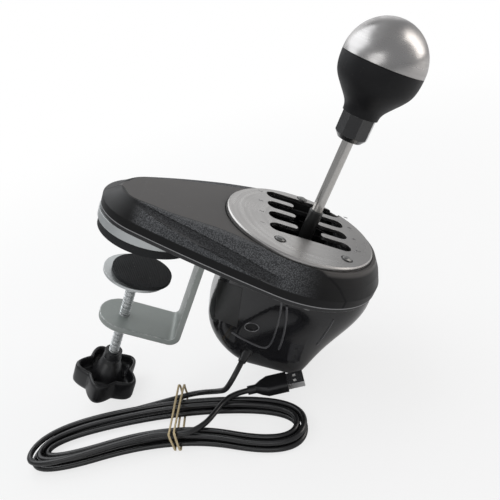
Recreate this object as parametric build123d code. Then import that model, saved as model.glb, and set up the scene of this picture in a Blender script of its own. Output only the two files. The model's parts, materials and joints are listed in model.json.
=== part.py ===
import os
from math import acos, atan, atan2, ceil, cos, degrees, dist, pi, radians, sin, sqrt, tan

from build123d import *

# A clamp-on gear shifter with a seven-speed gate. It is drawn level, with the
# centre of the gate disc at the origin, the lever up along Z, the table clamp
# towards -X and the driver's left towards -Y, and is then tipped to the
# attitude in which it lies on its clamp knob and the bottom of its housing.

# Shared allowances
overrun = 1.0             # how far a cut runs past the face that it opens
slip_gap = 0.3            # between casings, and between parts that move past each other
bearing_gap = 0.04        # radial clearance of a turning or sliding fit
press_gap = 0.01          # radial clearance of parts that are pressed or glued together

# Gate disc and its slots
gate_radius = 52.7
gate_thickness = 2.5
gate_bevel = 0.8
gate_groove = 0.8         # dark ring between the disc and the cover
gate_centre_x = 5.5
column_pitch = 17.8
sprung_column_y = 2.6     # column of gears three and four, where the lever rests
columns_above = 2
columns_below = 1
slot_width = 12.0
slot_length = 58.0
channel_width = 17.0
web_end_radius = 2.6
gate_screw_spread = 22.9
gate_screw_near_y = -32.5
gate_screw_far_y = 48.2
gate_screw_head_radius = 3.2
gate_screw_head_height = 1.3
gate_screw_shank_radius = 1.5
gate_screw_length = 10.0

# Black ring under the disc, and the plate that carries both
liner_thickness = 5.5
liner_opening_margin = 2.0
support_radius = 52.0
support_thickness = 3.0
support_opening_length = 54.0
support_opening_width = 64.0
support_opening_y = 11.0
post_radius = 3.2
post_spread_x = 33.0
post_spread_y = 24.0

# Cover: an egg outline of a disc end and a wing end, drawn at three heights
cover_height = 20.4       # from the seam up to the panel at the gate
cover_wall = 2.5
lip_height = 5.9
seam_disc_radius = 64.6
seam_wing_radius = 37.2
wing_x = -95.8
seam_side_radius = 897.0
shoulder_height = 12.2
shoulder_disc_radius = 61.0
shoulder_wing_radius = 31.0
shoulder_side_radius = 230.0
shoulder_slope = 0.0186
crown_height = 21.7
crown_disc_radius = 53.2
crown_wing_radius = 19.0
crown_wing_x = -99.0
crown_side_radius = 300.0
crown_slope = 0.041
panel_break_x = -45.0
panel_slope = 0.09
panel_blend_radius = 150.0
cover_boss_radius = 4.0
cover_boss_height = 9.0
cover_screw_shank_radius = 1.4
cover_screw_head_radius = 3.0
cover_screw_head_height = 1.6
cover_screw_length = 9.0
cover_screw_wing_x = -70.0
cover_screw_wing_y = 40.5
cover_screw_disc_x = 8.0
cover_screw_disc_y = 58.5

# Base plate
base_thickness = 3.0
base_inset = 1.0
mechanism_opening_length = 56.0
mechanism_opening_width = 68.0
mechanism_opening_y = 8.0
rig_thread_radius = 2.5
rig_boss_radius = 5.5
rig_boss_height = 6.0
rig_hole_x = -50.0
rig_hole_y = 12.0

# Jaw, bracket and clamp
clamp_x = -98.2
jaw_radius = 35.25
jaw_thickness = 6.2
jaw_pad_radius = 34.2
jaw_pad_thickness = 6.5
strap_width = 36.0
strap_thickness = 4.2
strap_bend_radius = 4.0
strap_arm_x = -54.65      # outer face of the upright
strap_drop = 88.3         # from the base plate down to the bottom of the lower arm
strap_top_reach = 60.0
strap_bolt_radius = 2.4
strap_bolt_head_radius = 4.4
strap_bolt_head_height = 2.0
strap_bolt_spread = 12.0
strap_bolt_length = 14.0
strap_nut_radius = 4.6
strap_nut_height = 3.6
screw_radius = 3.9
screw_top_z = -76.0
pad_radius = 21.3
pad_thickness = 2.6
pad_slip = 4.0            # how far the rubber has crept on its disc
swivel_radius = 23.0
swivel_thickness = 1.9
pad_top_z = -69.4
socket_radius = 7.0
socket_height = 5.0
collar_radius = 6.6
collar_height = 6.0
collar_top_z = -146.0
knob_bottom_z = -181.0
knob_lobes = 5
knob_lobe_radius = 7.5
knob_lobe_centre = 18.5
knob_core_radius = 18.5
knob_turn = 10.0          # degrees that one lobe stands past the wing's centre line
knob_chamfer = 3.0
knob_rim_height = 13.0
knob_hub_radius = 8.0
knob_shoulder_height = 6.0
knob_screw_depth = 20.0
knob_cap_radius = 6.0
knob_cap_height = 2.0

# Housing of the mechanism: sections from its rim to its bottom
housing_depth = 84.1
housing_left = -42.0
housing_right = 61.0
housing_half_width = 50.0
housing_wall = 2.5
housing_depth_shares = (0, 0.23, 0.46, 0.70, 0.88, 1.0)
housing_left_shares = (1.0, 1.02, 1.02, 0.95, 0.67, 0.24)
housing_right_shares = (1.0, 0.985, 0.885, 0.785, 0.72, 0.67)
housing_width_shares = (1.0, 0.90, 0.76, 0.62, 0.52, 0.40)
housing_corner_shares = (0.76, 0.68, 0.56, 0.44, 0.32, 0.20)
housing_screw_radius = 1.6
housing_screw_head_radius = 3.0
housing_screw_head_height = 1.8
housing_screw_length = 14.0
housing_boss_radius = 4.0
housing_boss_height = 16.0
housing_screw_left_x = -31.0
housing_screw_right_x = 49.0
housing_screw_y = 32.5

# Accessory port and the gland of the cord
port_x = -13.5
port_z = -67.0
port_radius = 5.25
port_length = 11.0
port_wall = 0.8
port_recess = 1.6
port_pins = 6
port_pin_radius = 0.5
port_pin_circle = 2.6
gland_x = -7.5
gland_z = -95.5
gland_radius = 4.0
gland_length = 10.0
gland_tip_length = 8.0
gland_tip_radius = 2.8
gland_turn = 20.0         # degrees that the cord leaves towards the clamp

# Mechanism
pivot_z = -80.0
bearing_reach = 30.0      # from the pivot to the inner face of each bearing plate
bearing_plate_thickness = 3.0
bearing_plate_half_width = 12.0
bearing_plate_tail = 12.0
bearing_flange_length = 10.0
bush_radius = 6.0
bush_flange = 1.0
shaft_radius = 4.0
yoke_half_length = 21.0
yoke_half_width = 15.0
yoke_bar = 6.0
yoke_height = 12.0
block_half_length = 9.0
block_height = 16.0
block_gap = 0.5
pin_radius = 3.0
guide_radius = 7.0
guide_top_z = -38.0
detent_radius = 17.0
detent_thickness = 4.0
detent_width = 8.0
detent_reach = 68.0       # half angle of the arc in degrees
notch_radius = 2.6
notch_angle = 14.5
plunger_radius = 2.6
plunger_tip_gap = 0.3
spring_wire = 0.7         # wire radius of both springs
centering_turns = 4
centering_radius = 6.4
centering_pitch = 1.46
press_turns = 4
press_radius = 5.6
magnet_radius = 3.0
magnet_thickness = 2.0
board_thickness = 1.6
select_board_width = 24.0
select_board_height = 14.0
select_board_gap = 1.0
main_board_height = 34.0
main_board_width = 32.0
main_board_gap = 7.5      # from the bearing plate to the board
main_board_z = -52.0
chip_size = 9.0
chip_thickness = 1.4
spacer_radius = 1.8
spacer_spread = 9.0

# Lever
lever_lean = 0.9          # degrees that the lever leans towards the even gears
rod_radius = 3.85
rod_bottom_z = -67.0
rod_top_z = 97.0
sleeve_radius = 4.8
sleeve_top_z = 12.5
sleeve_bottom_z = -22.0
collar_disc_radius = 8.0
collar_disc_thickness = 4.0
nut_corner_radius = 11.3
nut_bottom_z = 65.0
nut_top_z = 82.0
nut_sides = 8
nut_foot_radius = 8.0
nut_chamfer = 4.0
insert_radius = 5.8
ball_radius = 26.5
ball_z = 115.2
ball_wall = 2.2
grip_neck_radius = 11.8
grip_waist_radius = 15.5
grip_flare_radius = 21.0
grip_waist_z = 90.5
grip_flare_z = 97.0
ball_seam = 0.3
core_spigot_radius = 9.0
core_spigot_length = 6.0

# Cord with its hank, the tie round it and its plug. These lie on the floor, in
# millimetres from the point under the centre of the gate disc.
cord_radius = 2.0
hank_x = -113.0
hank_y = -46.0
hank_turn = -11.8         # degrees from X to the run of the hank, left to right
hank_turns = 4.5
hank_layers = 2
layer_step = 4.6
waist_lift = 1.6          # the tie under the waist lifts the cords there
hank_corners = [(0.0, 18.0), (-104.0, -9.0), (-104.0, -55.0), (0.0, -18.0), (96.0, -36.0), (96.0, 16.0)]
hank_steps = [(0.0, -4.9), (4.8, -3.6), (4.8, 6.6), (0.0, 4.9), (-4.8, 5.4), (-4.8, -4.6)]
hank_start = (-6.0, 22.5)
hank_end = (-14.0, -22.0)
hank_end_run = 16.0
lead_route = [
    (-71.0, -41.5, 24.5),
    (-76.5, -39.0, 16.8),
    (-82.0, -33.5, 12.0),
    (-89.5, -27.0, 7.0),
    (-98.0, -22.6, 4.2),
]
plug_route = [
    (-99.3, -68.8, 12.6),
    (-90.3, -63.8, 12.9),
    (-84.3, -55.1, 12.9),
    (-78.8, -46.3, 12.9),
]
plug_start = (-60.8, -39.3, 12.9)
plug_aim = (-18.8, -36.4, 12.9)
plug_run = 9.6            # straight run of cord behind the plug
plug_length = 29.0
plug_width = 15.6
plug_height = 8.0
plug_corner = 2.4
plug_neck_radius = 3.2
plug_shell_length = 12.0
plug_shell_width = 12.0
plug_shell_height = 4.5
plug_shell_wall = 0.35
plug_shell_seat = 3.0
plug_window_size = 2.2
plug_window_spread = 2.6
plug_window_reach = 5.6
plug_tongue_height = 1.9
tie_width = 1.5
tie_thickness = 0.9
tie_spread = 2.6
tie_corner = 2.5
tie_far = 28.2
tie_near = -25.6

# Heights and places that follow from the sizes above
column_ys = [sprung_column_y + k * column_pitch for k in range(-columns_below, columns_above + 1)]
first_column_y, last_column_y = column_ys[0], column_ys[-1]
panel_z = -gate_thickness
seam_z = panel_z - cover_height
base_bottom_z = seam_z - base_thickness
liner_bottom_z = -gate_thickness - liner_thickness
support_bottom_z = liner_bottom_z - support_thickness
housing_bottom_z = base_bottom_z - housing_depth
arm_bottom_z = base_bottom_z - strap_drop
jaw_bottom_z = base_bottom_z - jaw_thickness
pivot = Vector(gate_centre_x, sprung_column_y, pivot_z)
gate_screw_places = [
    (gate_centre_x - gate_screw_spread, gate_screw_near_y),
    (gate_centre_x + gate_screw_spread, gate_screw_near_y),
    (gate_centre_x, gate_screw_far_y),
]
cover_screw_places = [
    (x, side * y)
    for x, y in ((cover_screw_wing_x, cover_screw_wing_y), (cover_screw_disc_x, cover_screw_disc_y))
    for side in (-1, 1)
]
housing_screw_places = [
    (x, side * housing_screw_y)
    for x in (housing_screw_left_x, housing_screw_right_x)
    for side in (-1, 1)
]
post_places = [
    (gate_centre_x + a * post_spread_x, b * post_spread_y) for a in (-1, 1) for b in (-1, 1)
]
strap_bolt_places = [(clamp_x + k * strap_bolt_spread, 0) for k in (-1, 0, 1)]


# Small helpers
def rod(x, y, bottom, top, radius):
    return Pos(x, y, bottom) * Cylinder(
        radius, top - bottom, align=(Align.CENTER, Align.CENTER, Align.MIN)
    )


def rods(places, bottom, top, radius):
    return [rod(x, y, bottom, top, radius) for x, y in places]


def slab(x_low, x_high, y_low, y_high, bottom, top):
    size = (x_high - x_low, y_high - y_low, top - bottom)
    return Pos(x_low, y_low, bottom) * Box(*size, align=(Align.MIN, Align.MIN, Align.MIN))


def turned(points, x=0.0, y=0.0):
    # a solid of revolution from (radius, height) points, closed on the axis
    outline = Polyline(*[(r, 0, z) for r, z in points], close=True)
    return Pos(x, y, 0) * revolve(make_face(outline), Axis.Z)


def along_x(x_low, x_high, radius, y, z):
    return Pos((x_low + x_high) / 2, y, z) * Rot(0, 90, 0) * Cylinder(radius, x_high - x_low)


def along_y(y_low, y_high, radius, x, z):
    return Pos(x, (y_low + y_high) / 2, z) * Rot(90, 0, 0) * Cylinder(radius, y_high - y_low)


def coil(radius, wire, pitch, turns):
    path = Helix(pitch, pitch * turns, radius)
    return sweep(Plane(path @ 0, z_dir=path % 0) * Circle(wire), path, is_frenet=True)


def group(solids):
    return Compound([s for shape in solids for s in shape.solids()])


# Cover outline: a circle at each end, joined by side arcs that touch both
def egg(disc_radius, wing_radius, wing_centre, side_radius):
    disc_reach, wing_reach = side_radius - disc_radius, side_radius - wing_radius
    centre_x = (wing_centre**2 - wing_reach**2 + disc_reach**2) / (2 * wing_centre)
    centre_y = -sqrt(disc_reach**2 - centre_x**2)
    disc_angle = atan2(-centre_y, -centre_x)
    wing_angle = atan2(-centre_y, wing_centre - centre_x)
    middle = (disc_angle + wing_angle) / 2

    def side_point(angle, side):
        return (centre_x + side_radius * cos(angle), side * (centre_y + side_radius * sin(angle)))

    outline = [
        ThreePointArc(side_point(disc_angle, -1), (disc_radius, 0), side_point(disc_angle, 1)),
        ThreePointArc(side_point(disc_angle, 1), side_point(middle, 1), side_point(wing_angle, 1)),
        ThreePointArc(
            side_point(wing_angle, 1), (wing_centre - wing_radius, 0), side_point(wing_angle, -1)
        ),
        ThreePointArc(
            side_point(wing_angle, -1), side_point(middle, -1), side_point(disc_angle, -1)
        ),
    ]
    return make_face(Wire(outline))


def panel_profile(drop):
    # side view of everything below the panel, lowered by drop
    front_x = seam_disc_radius + overrun
    back_x = wing_x - seam_wing_radius - overrun
    top = panel_z - drop
    floor = seam_z - overrun
    back_top = top - panel_slope * (panel_break_x - back_x)
    line = FilletPolyline(
        (back_x, 0, back_top), (panel_break_x, 0, top), (front_x, 0, top), radius=panel_blend_radius
    )
    rest = Polyline((front_x, 0, top), (front_x, 0, floor), (back_x, 0, floor), (back_x, 0, back_top))
    face = make_face([line, rest])
    return extrude(face, seam_disc_radius + overrun, both=True)


def cover_form(inset):
    lip = egg(seam_disc_radius - inset, seam_wing_radius - inset, wing_x, seam_side_radius - inset)
    shoulder = egg(
        shoulder_disc_radius - inset,
        shoulder_wing_radius - inset,
        wing_x,
        shoulder_side_radius - inset,
    )
    crown = egg(
        crown_disc_radius - inset, crown_wing_radius - inset, crown_wing_x, crown_side_radius - inset
    )
    below = overrun if inset else 0
    lip_top = seam_z + lip_height
    base = Pos(0, 0, seam_z - below) * extrude(lip, lip_height + below)
    sections = [
        Pos(0, 0, lip_top) * lip,
        Pos(0, 0, seam_z + shoulder_height - inset / 2) * Rot(0, -degrees(atan(shoulder_slope)), 0) * shoulder,
        Pos(0, 0, seam_z + crown_height) * Rot(0, -degrees(atan(crown_slope)), 0) * crown,
    ]
    return (base + loft(sections, ruled=True)) & panel_profile(inset)


def make_cover():
    outer = cover_form(0)
    shell = outer - cover_form(cover_wall)
    bosses = group(rods(cover_screw_places, seam_z, seam_z + cover_boss_height, cover_boss_radius))
    shell = shell + (bosses & outer)
    shell -= rod(0, 0, seam_z, overrun, gate_radius + gate_groove)
    for x, y in cover_screw_places:
        shell -= rod(x, y, seam_z - overrun, seam_z + cover_screw_length - base_thickness, cover_screw_shank_radius)
    return shell


# Gate
def slot_pattern(thickness_from, thickness_to):
    slots = Sketch()
    for y in column_ys:
        slots += Pos(gate_centre_x, y) * SlotOverall(slot_length, slot_width)
    height = last_column_y - first_column_y
    middle = (last_column_y + first_column_y) / 2
    slots += Pos(gate_centre_x, middle) * Rectangle(channel_width, height)
    corners = [
        v
        for v in slots.vertices()
        if abs(abs(v.X - gate_centre_x) - channel_width / 2) < press_gap
        and first_column_y < v.Y < last_column_y
    ]
    slots = fillet(corners, web_end_radius)
    return Pos(0, 0, thickness_from) * extrude(slots, thickness_to - thickness_from)


def make_gate():
    disc = rod(0, 0, -gate_thickness, 0, gate_radius)
    disc = chamfer(disc.faces().sort_by(Axis.Z)[-1].edges(), gate_bevel)
    disc -= slot_pattern(-gate_thickness - overrun, overrun)
    for x, y in gate_screw_places:
        disc -= rod(x, y, -gate_thickness - overrun, overrun, gate_screw_shank_radius + press_gap)
    return disc


def gate_screw(x, y):
    head = turned(
        [
            (0, 0),
            (gate_screw_head_radius, 0),
            (gate_screw_head_radius, gate_screw_head_height / 2),
            (gate_screw_head_radius / 2, gate_screw_head_height),
            (0, gate_screw_head_height),
        ],
        x,
        y,
    )
    return head + rod(x, y, -gate_screw_length, 0, gate_screw_shank_radius)


def make_liner():
    ring = rod(0, 0, liner_bottom_z, -gate_thickness, gate_radius + gate_groove - slip_gap)
    reach = slot_length / 2 + liner_opening_margin
    edge = slot_width / 2
    ring -= slab(
        gate_centre_x - reach,
        gate_centre_x + reach,
        first_column_y - edge,
        last_column_y + edge,
        liner_bottom_z - overrun,
        overrun,
    )
    for x, y in gate_screw_places:
        ring -= rod(x, y, liner_bottom_z - overrun, overrun, gate_screw_shank_radius + press_gap)
    return ring


def make_support():
    disc = rod(0, 0, support_bottom_z, liner_bottom_z, support_radius)
    disc -= slab(
        gate_centre_x - support_opening_length / 2,
        gate_centre_x + support_opening_length / 2,
        support_opening_y - support_opening_width / 2,
        support_opening_y + support_opening_width / 2,
        support_bottom_z - overrun,
        liner_bottom_z + overrun,
    )
    for x, y in gate_screw_places:
        disc -= rod(x, y, support_bottom_z - overrun, overrun, gate_screw_shank_radius + press_gap)
    return disc


# Base plate
def make_base():
    outline = egg(
        seam_disc_radius - base_inset, seam_wing_radius - base_inset, wing_x, seam_side_radius - base_inset
    )
    plate = Pos(0, 0, base_bottom_z) * extrude(outline, base_thickness)
    for side in (-1, 1):
        plate += rod(rig_hole_x, side * rig_hole_y, seam_z, seam_z + rig_boss_height, rig_boss_radius)
    plate -= slab(
        gate_centre_x - mechanism_opening_length / 2,
        gate_centre_x + mechanism_opening_length / 2,
        mechanism_opening_y - mechanism_opening_width / 2,
        mechanism_opening_y + mechanism_opening_width / 2,
        base_bottom_z - overrun,
        seam_z + overrun,
    )
    holes = [(x, y, strap_bolt_radius) for x, y in strap_bolt_places]
    holes += [(x, y, cover_screw_shank_radius) for x, y in cover_screw_places]
    holes += [(x, y, housing_screw_radius) for x, y in housing_screw_places]
    for x, y, radius in holes:
        plate -= rod(x, y, base_bottom_z - overrun, seam_z + overrun, radius + press_gap)
    for side in (-1, 1):
        plate -= rod(
            rig_hole_x, side * rig_hole_y, base_bottom_z - overrun, seam_z + rig_boss_height + overrun, rig_thread_radius
        )
    return plate


# Clamp
def make_jaw_plate():
    disc = rod(clamp_x, 0, jaw_bottom_z, base_bottom_z, jaw_radius)
    half = strap_width / 2 + slip_gap
    channel = slab(
        strap_arm_x - strap_top_reach - slip_gap,
        clamp_x + jaw_radius + overrun,
        -half,
        half,
        base_bottom_z - strap_thickness,
        base_bottom_z + overrun,
    )
    disc -= channel
    for x, y in strap_bolt_places:
        disc -= rod(x, y, jaw_bottom_z - overrun, base_bottom_z, strap_bolt_radius + press_gap)
        disc -= rod(x, y, jaw_bottom_z - overrun, jaw_bottom_z + strap_bolt_head_height, strap_bolt_head_radius + press_gap)
    return disc


def make_bracket():
    inner = strap_bend_radius
    outer = strap_bend_radius + strap_thickness
    top_end_x = strap_arm_x - strap_top_reach
    low_end_x = clamp_x - strap_width / 2
    centre_z = (base_bottom_z + arm_bottom_z) / 2
    height = base_bottom_z - arm_bottom_z
    reach = strap_arm_x - top_end_x
    shape = Pos((strap_arm_x + top_end_x) / 2, 0, centre_z) * Box(reach, strap_width, height)
    outer_edges = shape.edges().filter_by(Axis.Y).group_by(Axis.X)[-1]
    shape = fillet(outer_edges, outer)
    hollow = slab(
        top_end_x - overrun,
        strap_arm_x - strap_thickness,
        -strap_width,
        strap_width,
        arm_bottom_z + strap_thickness,
        base_bottom_z - strap_thickness,
    )
    hollow = fillet(hollow.edges().filter_by(Axis.Y).group_by(Axis.X)[-1], inner)
    shape -= hollow
    arm_end = slab(
        low_end_x - overrun, clamp_x, -strap_width, strap_width, arm_bottom_z - overrun, arm_bottom_z + strap_thickness + overrun
    )
    arm_end -= rod(clamp_x, 0, arm_bottom_z - overrun, arm_bottom_z + strap_thickness + overrun, strap_width / 2)
    lower_arm = slab(low_end_x, top_end_x, -strap_width / 2, strap_width / 2, arm_bottom_z, arm_bottom_z + strap_thickness)
    shape = shape + lower_arm - arm_end
    shape -= rod(clamp_x, 0, arm_bottom_z - overrun, arm_bottom_z + strap_thickness + overrun, screw_radius + bearing_gap)
    for x, y in strap_bolt_places:
        shape -= rod(x, y, base_bottom_z - strap_thickness - overrun, base_bottom_z + overrun, strap_bolt_radius + press_gap)
    return shape


def strap_bolt(x, y):
    shank = rod(x, y, jaw_bottom_z, jaw_bottom_z + strap_bolt_length, strap_bolt_radius)
    return shank + rod(x, y, jaw_bottom_z, jaw_bottom_z + strap_bolt_head_height, strap_bolt_head_radius)


def make_clamp_screw():
    # the ball end sits in the swivel's socket, the foot inside the knob
    stem = rod(clamp_x, 0, screw_top_z, screw_top_z + screw_radius, screw_radius - bearing_gap)
    bottom = knob_bottom_z + knob_cap_height + knob_screw_depth / 2
    return stem + rod(clamp_x, 0, bottom, screw_top_z, screw_radius)


def make_swivel():
    disc_bottom = pad_top_z - pad_thickness - swivel_thickness
    disc = rod(clamp_x, 0, disc_bottom, disc_bottom + swivel_thickness, swivel_radius)
    disc += rod(clamp_x, 0, disc_bottom - socket_height, disc_bottom, socket_radius)
    top = screw_top_z + screw_radius + slip_gap
    return disc - rod(clamp_x, 0, disc_bottom - socket_height - overrun, top, screw_radius + bearing_gap)


def make_clamp_knob():
    rim_top = knob_bottom_z + knob_rim_height
    reach = knob_lobe_centre + knob_lobe_radius
    top = collar_top_z - collar_height
    lobes = Circle(knob_core_radius)
    for k in range(knob_lobes):
        angle = 180 + knob_turn + k * 360 / knob_lobes
        lobes += Rot(0, 0, angle) * Pos(knob_lobe_centre, 0) * Circle(knob_lobe_radius)
    prism = Pos(clamp_x, 0, knob_bottom_z) * extrude(lobes, top - knob_bottom_z)
    profile = turned(
        [
            (0, knob_bottom_z),
            (reach - knob_chamfer, knob_bottom_z),
            (reach, knob_bottom_z + knob_chamfer),
            (reach, rim_top),
            (reach - knob_chamfer, rim_top + knob_shoulder_height / 2),
            (knob_core_radius - knob_chamfer, rim_top + knob_shoulder_height),
            (knob_hub_radius, top),
            (0, top),
        ],
        clamp_x,
    )
    knob = prism & profile
    bottom = knob_bottom_z + knob_cap_height + knob_screw_depth / 2
    knob -= rod(clamp_x, 0, bottom, top + overrun, screw_radius + press_gap)
    return knob - rod(clamp_x, 0, knob_bottom_z - overrun, knob_bottom_z + knob_cap_height, knob_cap_radius + press_gap)


# Housing
def housing_section(level, inset):
    left = housing_left * housing_left_shares[level] + inset
    right = housing_right * housing_right_shares[level] - inset
    half = housing_half_width * housing_width_shares[level] - inset
    corner = housing_half_width * housing_corner_shares[level] - inset
    z = base_bottom_z - housing_depth * housing_depth_shares[level]
    return Pos((left + right) / 2, 0, z) * RectangleRounded(right - left, 2 * half, corner)


def housing_form(inset):
    last = len(housing_depth_shares)
    form = loft([housing_section(k, inset) for k in range(last)])
    if inset:
        lid = extrude(housing_section(0, inset), overrun)
        form = form + lid - slab(
            2 * housing_left, 2 * housing_right, -2 * housing_half_width, 2 * housing_half_width,
            housing_bottom_z - overrun, housing_bottom_z + inset,
        )
    return form


def front_slope():
    # angle of the housing's front face at the height of the port
    upper, lower = 2, 3
    drop = (housing_depth_shares[lower] - housing_depth_shares[upper]) * housing_depth
    run = (housing_width_shares[upper] - housing_width_shares[lower]) * housing_half_width
    return degrees(atan2(run, drop))


def front_y(z):
    # where the front face stands at height z
    share = (base_bottom_z - z) / housing_depth
    for k in range(len(housing_depth_shares) - 1):
        low, high = housing_depth_shares[k], housing_depth_shares[k + 1]
        if low <= share <= high:
            part = (share - low) / (high - low)
            width = housing_width_shares[k] * (1 - part) + housing_width_shares[k + 1] * part
            return -housing_half_width * width
    return -housing_half_width


port_place = Pos(port_x, front_y(port_z), port_z) * Rot(90 + front_slope(), 0, 0)
gland_place = (
    Pos(gland_x, front_y(gland_z), gland_z)
    * Rot(0, 0, -gland_turn)
    * Rot(90 + 2 * front_slope(), 0, 0)
)


def outward(place, start, end, radius):
    return place * rod(0, 0, start, end, radius)


def make_housing():
    shell = housing_form(0) - housing_form(housing_wall)
    solid = housing_form(0)
    bosses = group(
        rods(housing_screw_places, base_bottom_z - housing_boss_height, base_bottom_z, housing_boss_radius)
    )
    shell = shell + (bosses & solid)
    for x, y in housing_screw_places:
        shell -= rod(x, y, base_bottom_z - housing_screw_length, base_bottom_z + overrun, housing_screw_radius)
    shell -= outward(port_place, -port_length - overrun, port_length, port_radius + press_gap)
    shell -= outward(gland_place, -gland_length, gland_length, gland_radius + press_gap)
    return shell


def make_port_shell():
    tube = outward(port_place, -port_length, 0, port_radius)
    return tube - outward(port_place, -port_length - overrun, overrun, port_radius - port_wall)


def make_port_core():
    core = outward(port_place, -port_length, -port_recess, port_radius - port_wall - press_gap)
    for k in range(port_pins):
        angle = (k + 1) * 360 / (port_pins + 1)
        hole = rod(port_pin_circle, 0, -port_length / 2, overrun, port_pin_radius)
        core -= port_place * Rot(0, 0, angle - 90) * hole
    return core


def make_gland():
    body = outward(gland_place, -gland_length / 2, 0, gland_radius)
    tip = turned(
        [(0, 0), (gland_radius, 0), (gland_tip_radius, gland_tip_length), (0, gland_tip_length)]
    )
    return body + gland_place * tip


# Mechanism
def make_bearing_plate(side):
    face = pivot.X + side * bearing_reach
    back = face + side * bearing_plate_thickness
    low, high = min(face, back), max(face, back)
    tail = pivot.Z - bearing_plate_tail
    y_low, y_high = pivot.Y - bearing_plate_half_width, pivot.Y + bearing_plate_half_width
    plate = slab(low, high, y_low, y_high, tail, base_bottom_z)
    flange_end = face + side * bearing_flange_length
    flange_bottom = base_bottom_z - bearing_plate_thickness
    plate += slab(min(face, flange_end), max(face, flange_end), y_low, y_high, flange_bottom, base_bottom_z)
    return plate - along_x(low - overrun, high + overrun, bush_radius + press_gap, pivot.Y, pivot.Z)


def make_bush(side):
    face = pivot.X + side * bearing_reach
    back = face + side * (bearing_plate_thickness + bush_flange)
    inner = face - side * bush_flange
    bush = along_x(min(face, back), max(face, back), bush_radius, pivot.Y, pivot.Z)
    bush += along_x(min(face, inner), max(face, inner), bush_radius + bush_flange, pivot.Y, pivot.Z)
    ends = sorted((inner, back))
    return bush - along_x(ends[0] - overrun, ends[1] + overrun, shaft_radius + bearing_gap, pivot.Y, pivot.Z)


def make_shaft(side):
    start = pivot.X + side * (yoke_half_length - yoke_bar)
    end = pivot.X + side * (bearing_reach + bearing_plate_thickness + bush_flange)
    return along_x(min(start, end), max(start, end), shaft_radius, pivot.Y, pivot.Z)


def make_yoke():
    frame = Pos(*pivot) * Box(2 * yoke_half_length, 2 * yoke_half_width, yoke_height)
    inner_length = 2 * (yoke_half_length - yoke_bar)
    inner_width = 2 * (yoke_half_width - yoke_bar)
    frame -= Pos(*pivot) * Box(inner_length, inner_width, yoke_height + overrun)
    reach = yoke_half_length + overrun
    frame -= along_x(pivot.X - reach, pivot.X + reach, shaft_radius + press_gap, pivot.Y, pivot.Z)
    reach = yoke_half_width + overrun
    return frame - along_y(pivot.Y - reach, pivot.Y + reach, pin_radius + bearing_gap, pivot.X, pivot.Z)


def make_detent_arc():
    # an arc hung under the yoke with a notch for each lever position
    outer = detent_radius + detent_thickness
    ring = along_y(-detent_width / 2, detent_width / 2, outer, 0, 0)
    ring -= along_y(-detent_width, detent_width, detent_radius, 0, 0)
    half = radians(detent_reach)
    wedge = Polyline(
        (0, 0, 0), (-2 * outer * sin(half), 0, -2 * outer * cos(half)), (0, 0, -3 * outer),
        (2 * outer * sin(half), 0, -2 * outer * cos(half)), close=True,
    )
    ring &= extrude(make_face(wedge), detent_width, both=True)
    ring &= slab(-outer, outer, -detent_width, detent_width, -outer, -yoke_height / 2)
    for angle in (-notch_angle, lever_lean, notch_angle):
        across = detent_radius * sin(radians(angle))
        down = -detent_radius * cos(radians(angle))
        ring -= along_y(-detent_width, detent_width, notch_radius, -across, down)
    return Pos(*pivot) * ring


def lean(shape):
    # turn a piece with the lever about the pivot
    return Pos(*pivot) * Rot(0, lever_lean, 0) * Pos(-pivot.X, -pivot.Y, -pivot.Z) * shape


def lever_rod_piece(bottom, top, radius):
    return rod(pivot.X, pivot.Y, bottom, top, radius)


def make_block():
    half_width = yoke_half_width - yoke_bar - block_gap
    block = Pos(*pivot) * Box(2 * block_half_length, 2 * half_width, block_height)
    block -= along_y(pivot.Y - half_width - overrun, pivot.Y + half_width + overrun, pin_radius + press_gap, pivot.X, pivot.Z)
    top = pivot.Z + block_height / 2
    floor = pivot.Z + pin_radius + slip_gap
    block -= lever_rod_piece(floor, top + overrun, rod_radius + bearing_gap)
    low = pivot.Z - block_height / 2
    return block - lever_rod_piece(low - overrun, low + block_height / 4, plunger_radius + press_gap)


def make_plunger():
    low = pivot.Z - block_height / 2
    tip = pivot.Z - detent_radius + plunger_tip_gap
    stem = lever_rod_piece(tip + plunger_radius, low + block_height / 4, plunger_radius)
    return stem + Pos(pivot.X, pivot.Y, tip + plunger_radius) * Sphere(plunger_radius)


def make_guide():
    bottom = pivot.Z + block_height / 2
    tube = lever_rod_piece(bottom, guide_top_z, guide_radius)
    return tube - lever_rod_piece(bottom - overrun, guide_top_z + overrun, rod_radius + bearing_gap)


def make_press_spring():
    room = sleeve_bottom_z - collar_disc_thickness - guide_top_z - 2 * slip_gap
    pitch = (room - 2 * spring_wire) / press_turns
    return Pos(pivot.X, pivot.Y, guide_top_z + slip_gap + spring_wire) * coil(press_radius, spring_wire, pitch, press_turns)


def make_centering_spring():
    length = centering_pitch * centering_turns
    start = pivot.X + yoke_half_length + (bearing_reach - yoke_half_length - bush_flange - length) / 2
    return Pos(start, pivot.Y, pivot.Z) * Rot(0, 90, 0) * coil(centering_radius, spring_wire, centering_pitch, centering_turns)


def select_magnet_end():
    return pivot.X + bearing_reach + bearing_plate_thickness + bush_flange + magnet_thickness


def make_select_magnet():
    end = select_magnet_end()
    return along_x(end - magnet_thickness, end, magnet_radius, pivot.Y, pivot.Z)


def make_select_board():
    face = select_magnet_end() + select_board_gap
    return Pos(face + board_thickness / 2, pivot.Y, pivot.Z) * Box(
        board_thickness, select_board_width, select_board_height
    )


def make_main_board():
    face = pivot.X - bearing_reach - bearing_plate_thickness - main_board_gap
    board = Pos(face - board_thickness / 2, pivot.Y, main_board_z) * Box(
        board_thickness, main_board_width, main_board_height
    )
    for side in (-1, 1):
        place = Pos(face + chip_thickness / 2, pivot.Y + side * chip_size, main_board_z + side * chip_size)
        board += place * Box(chip_thickness, chip_size, chip_size)
    return board


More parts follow.
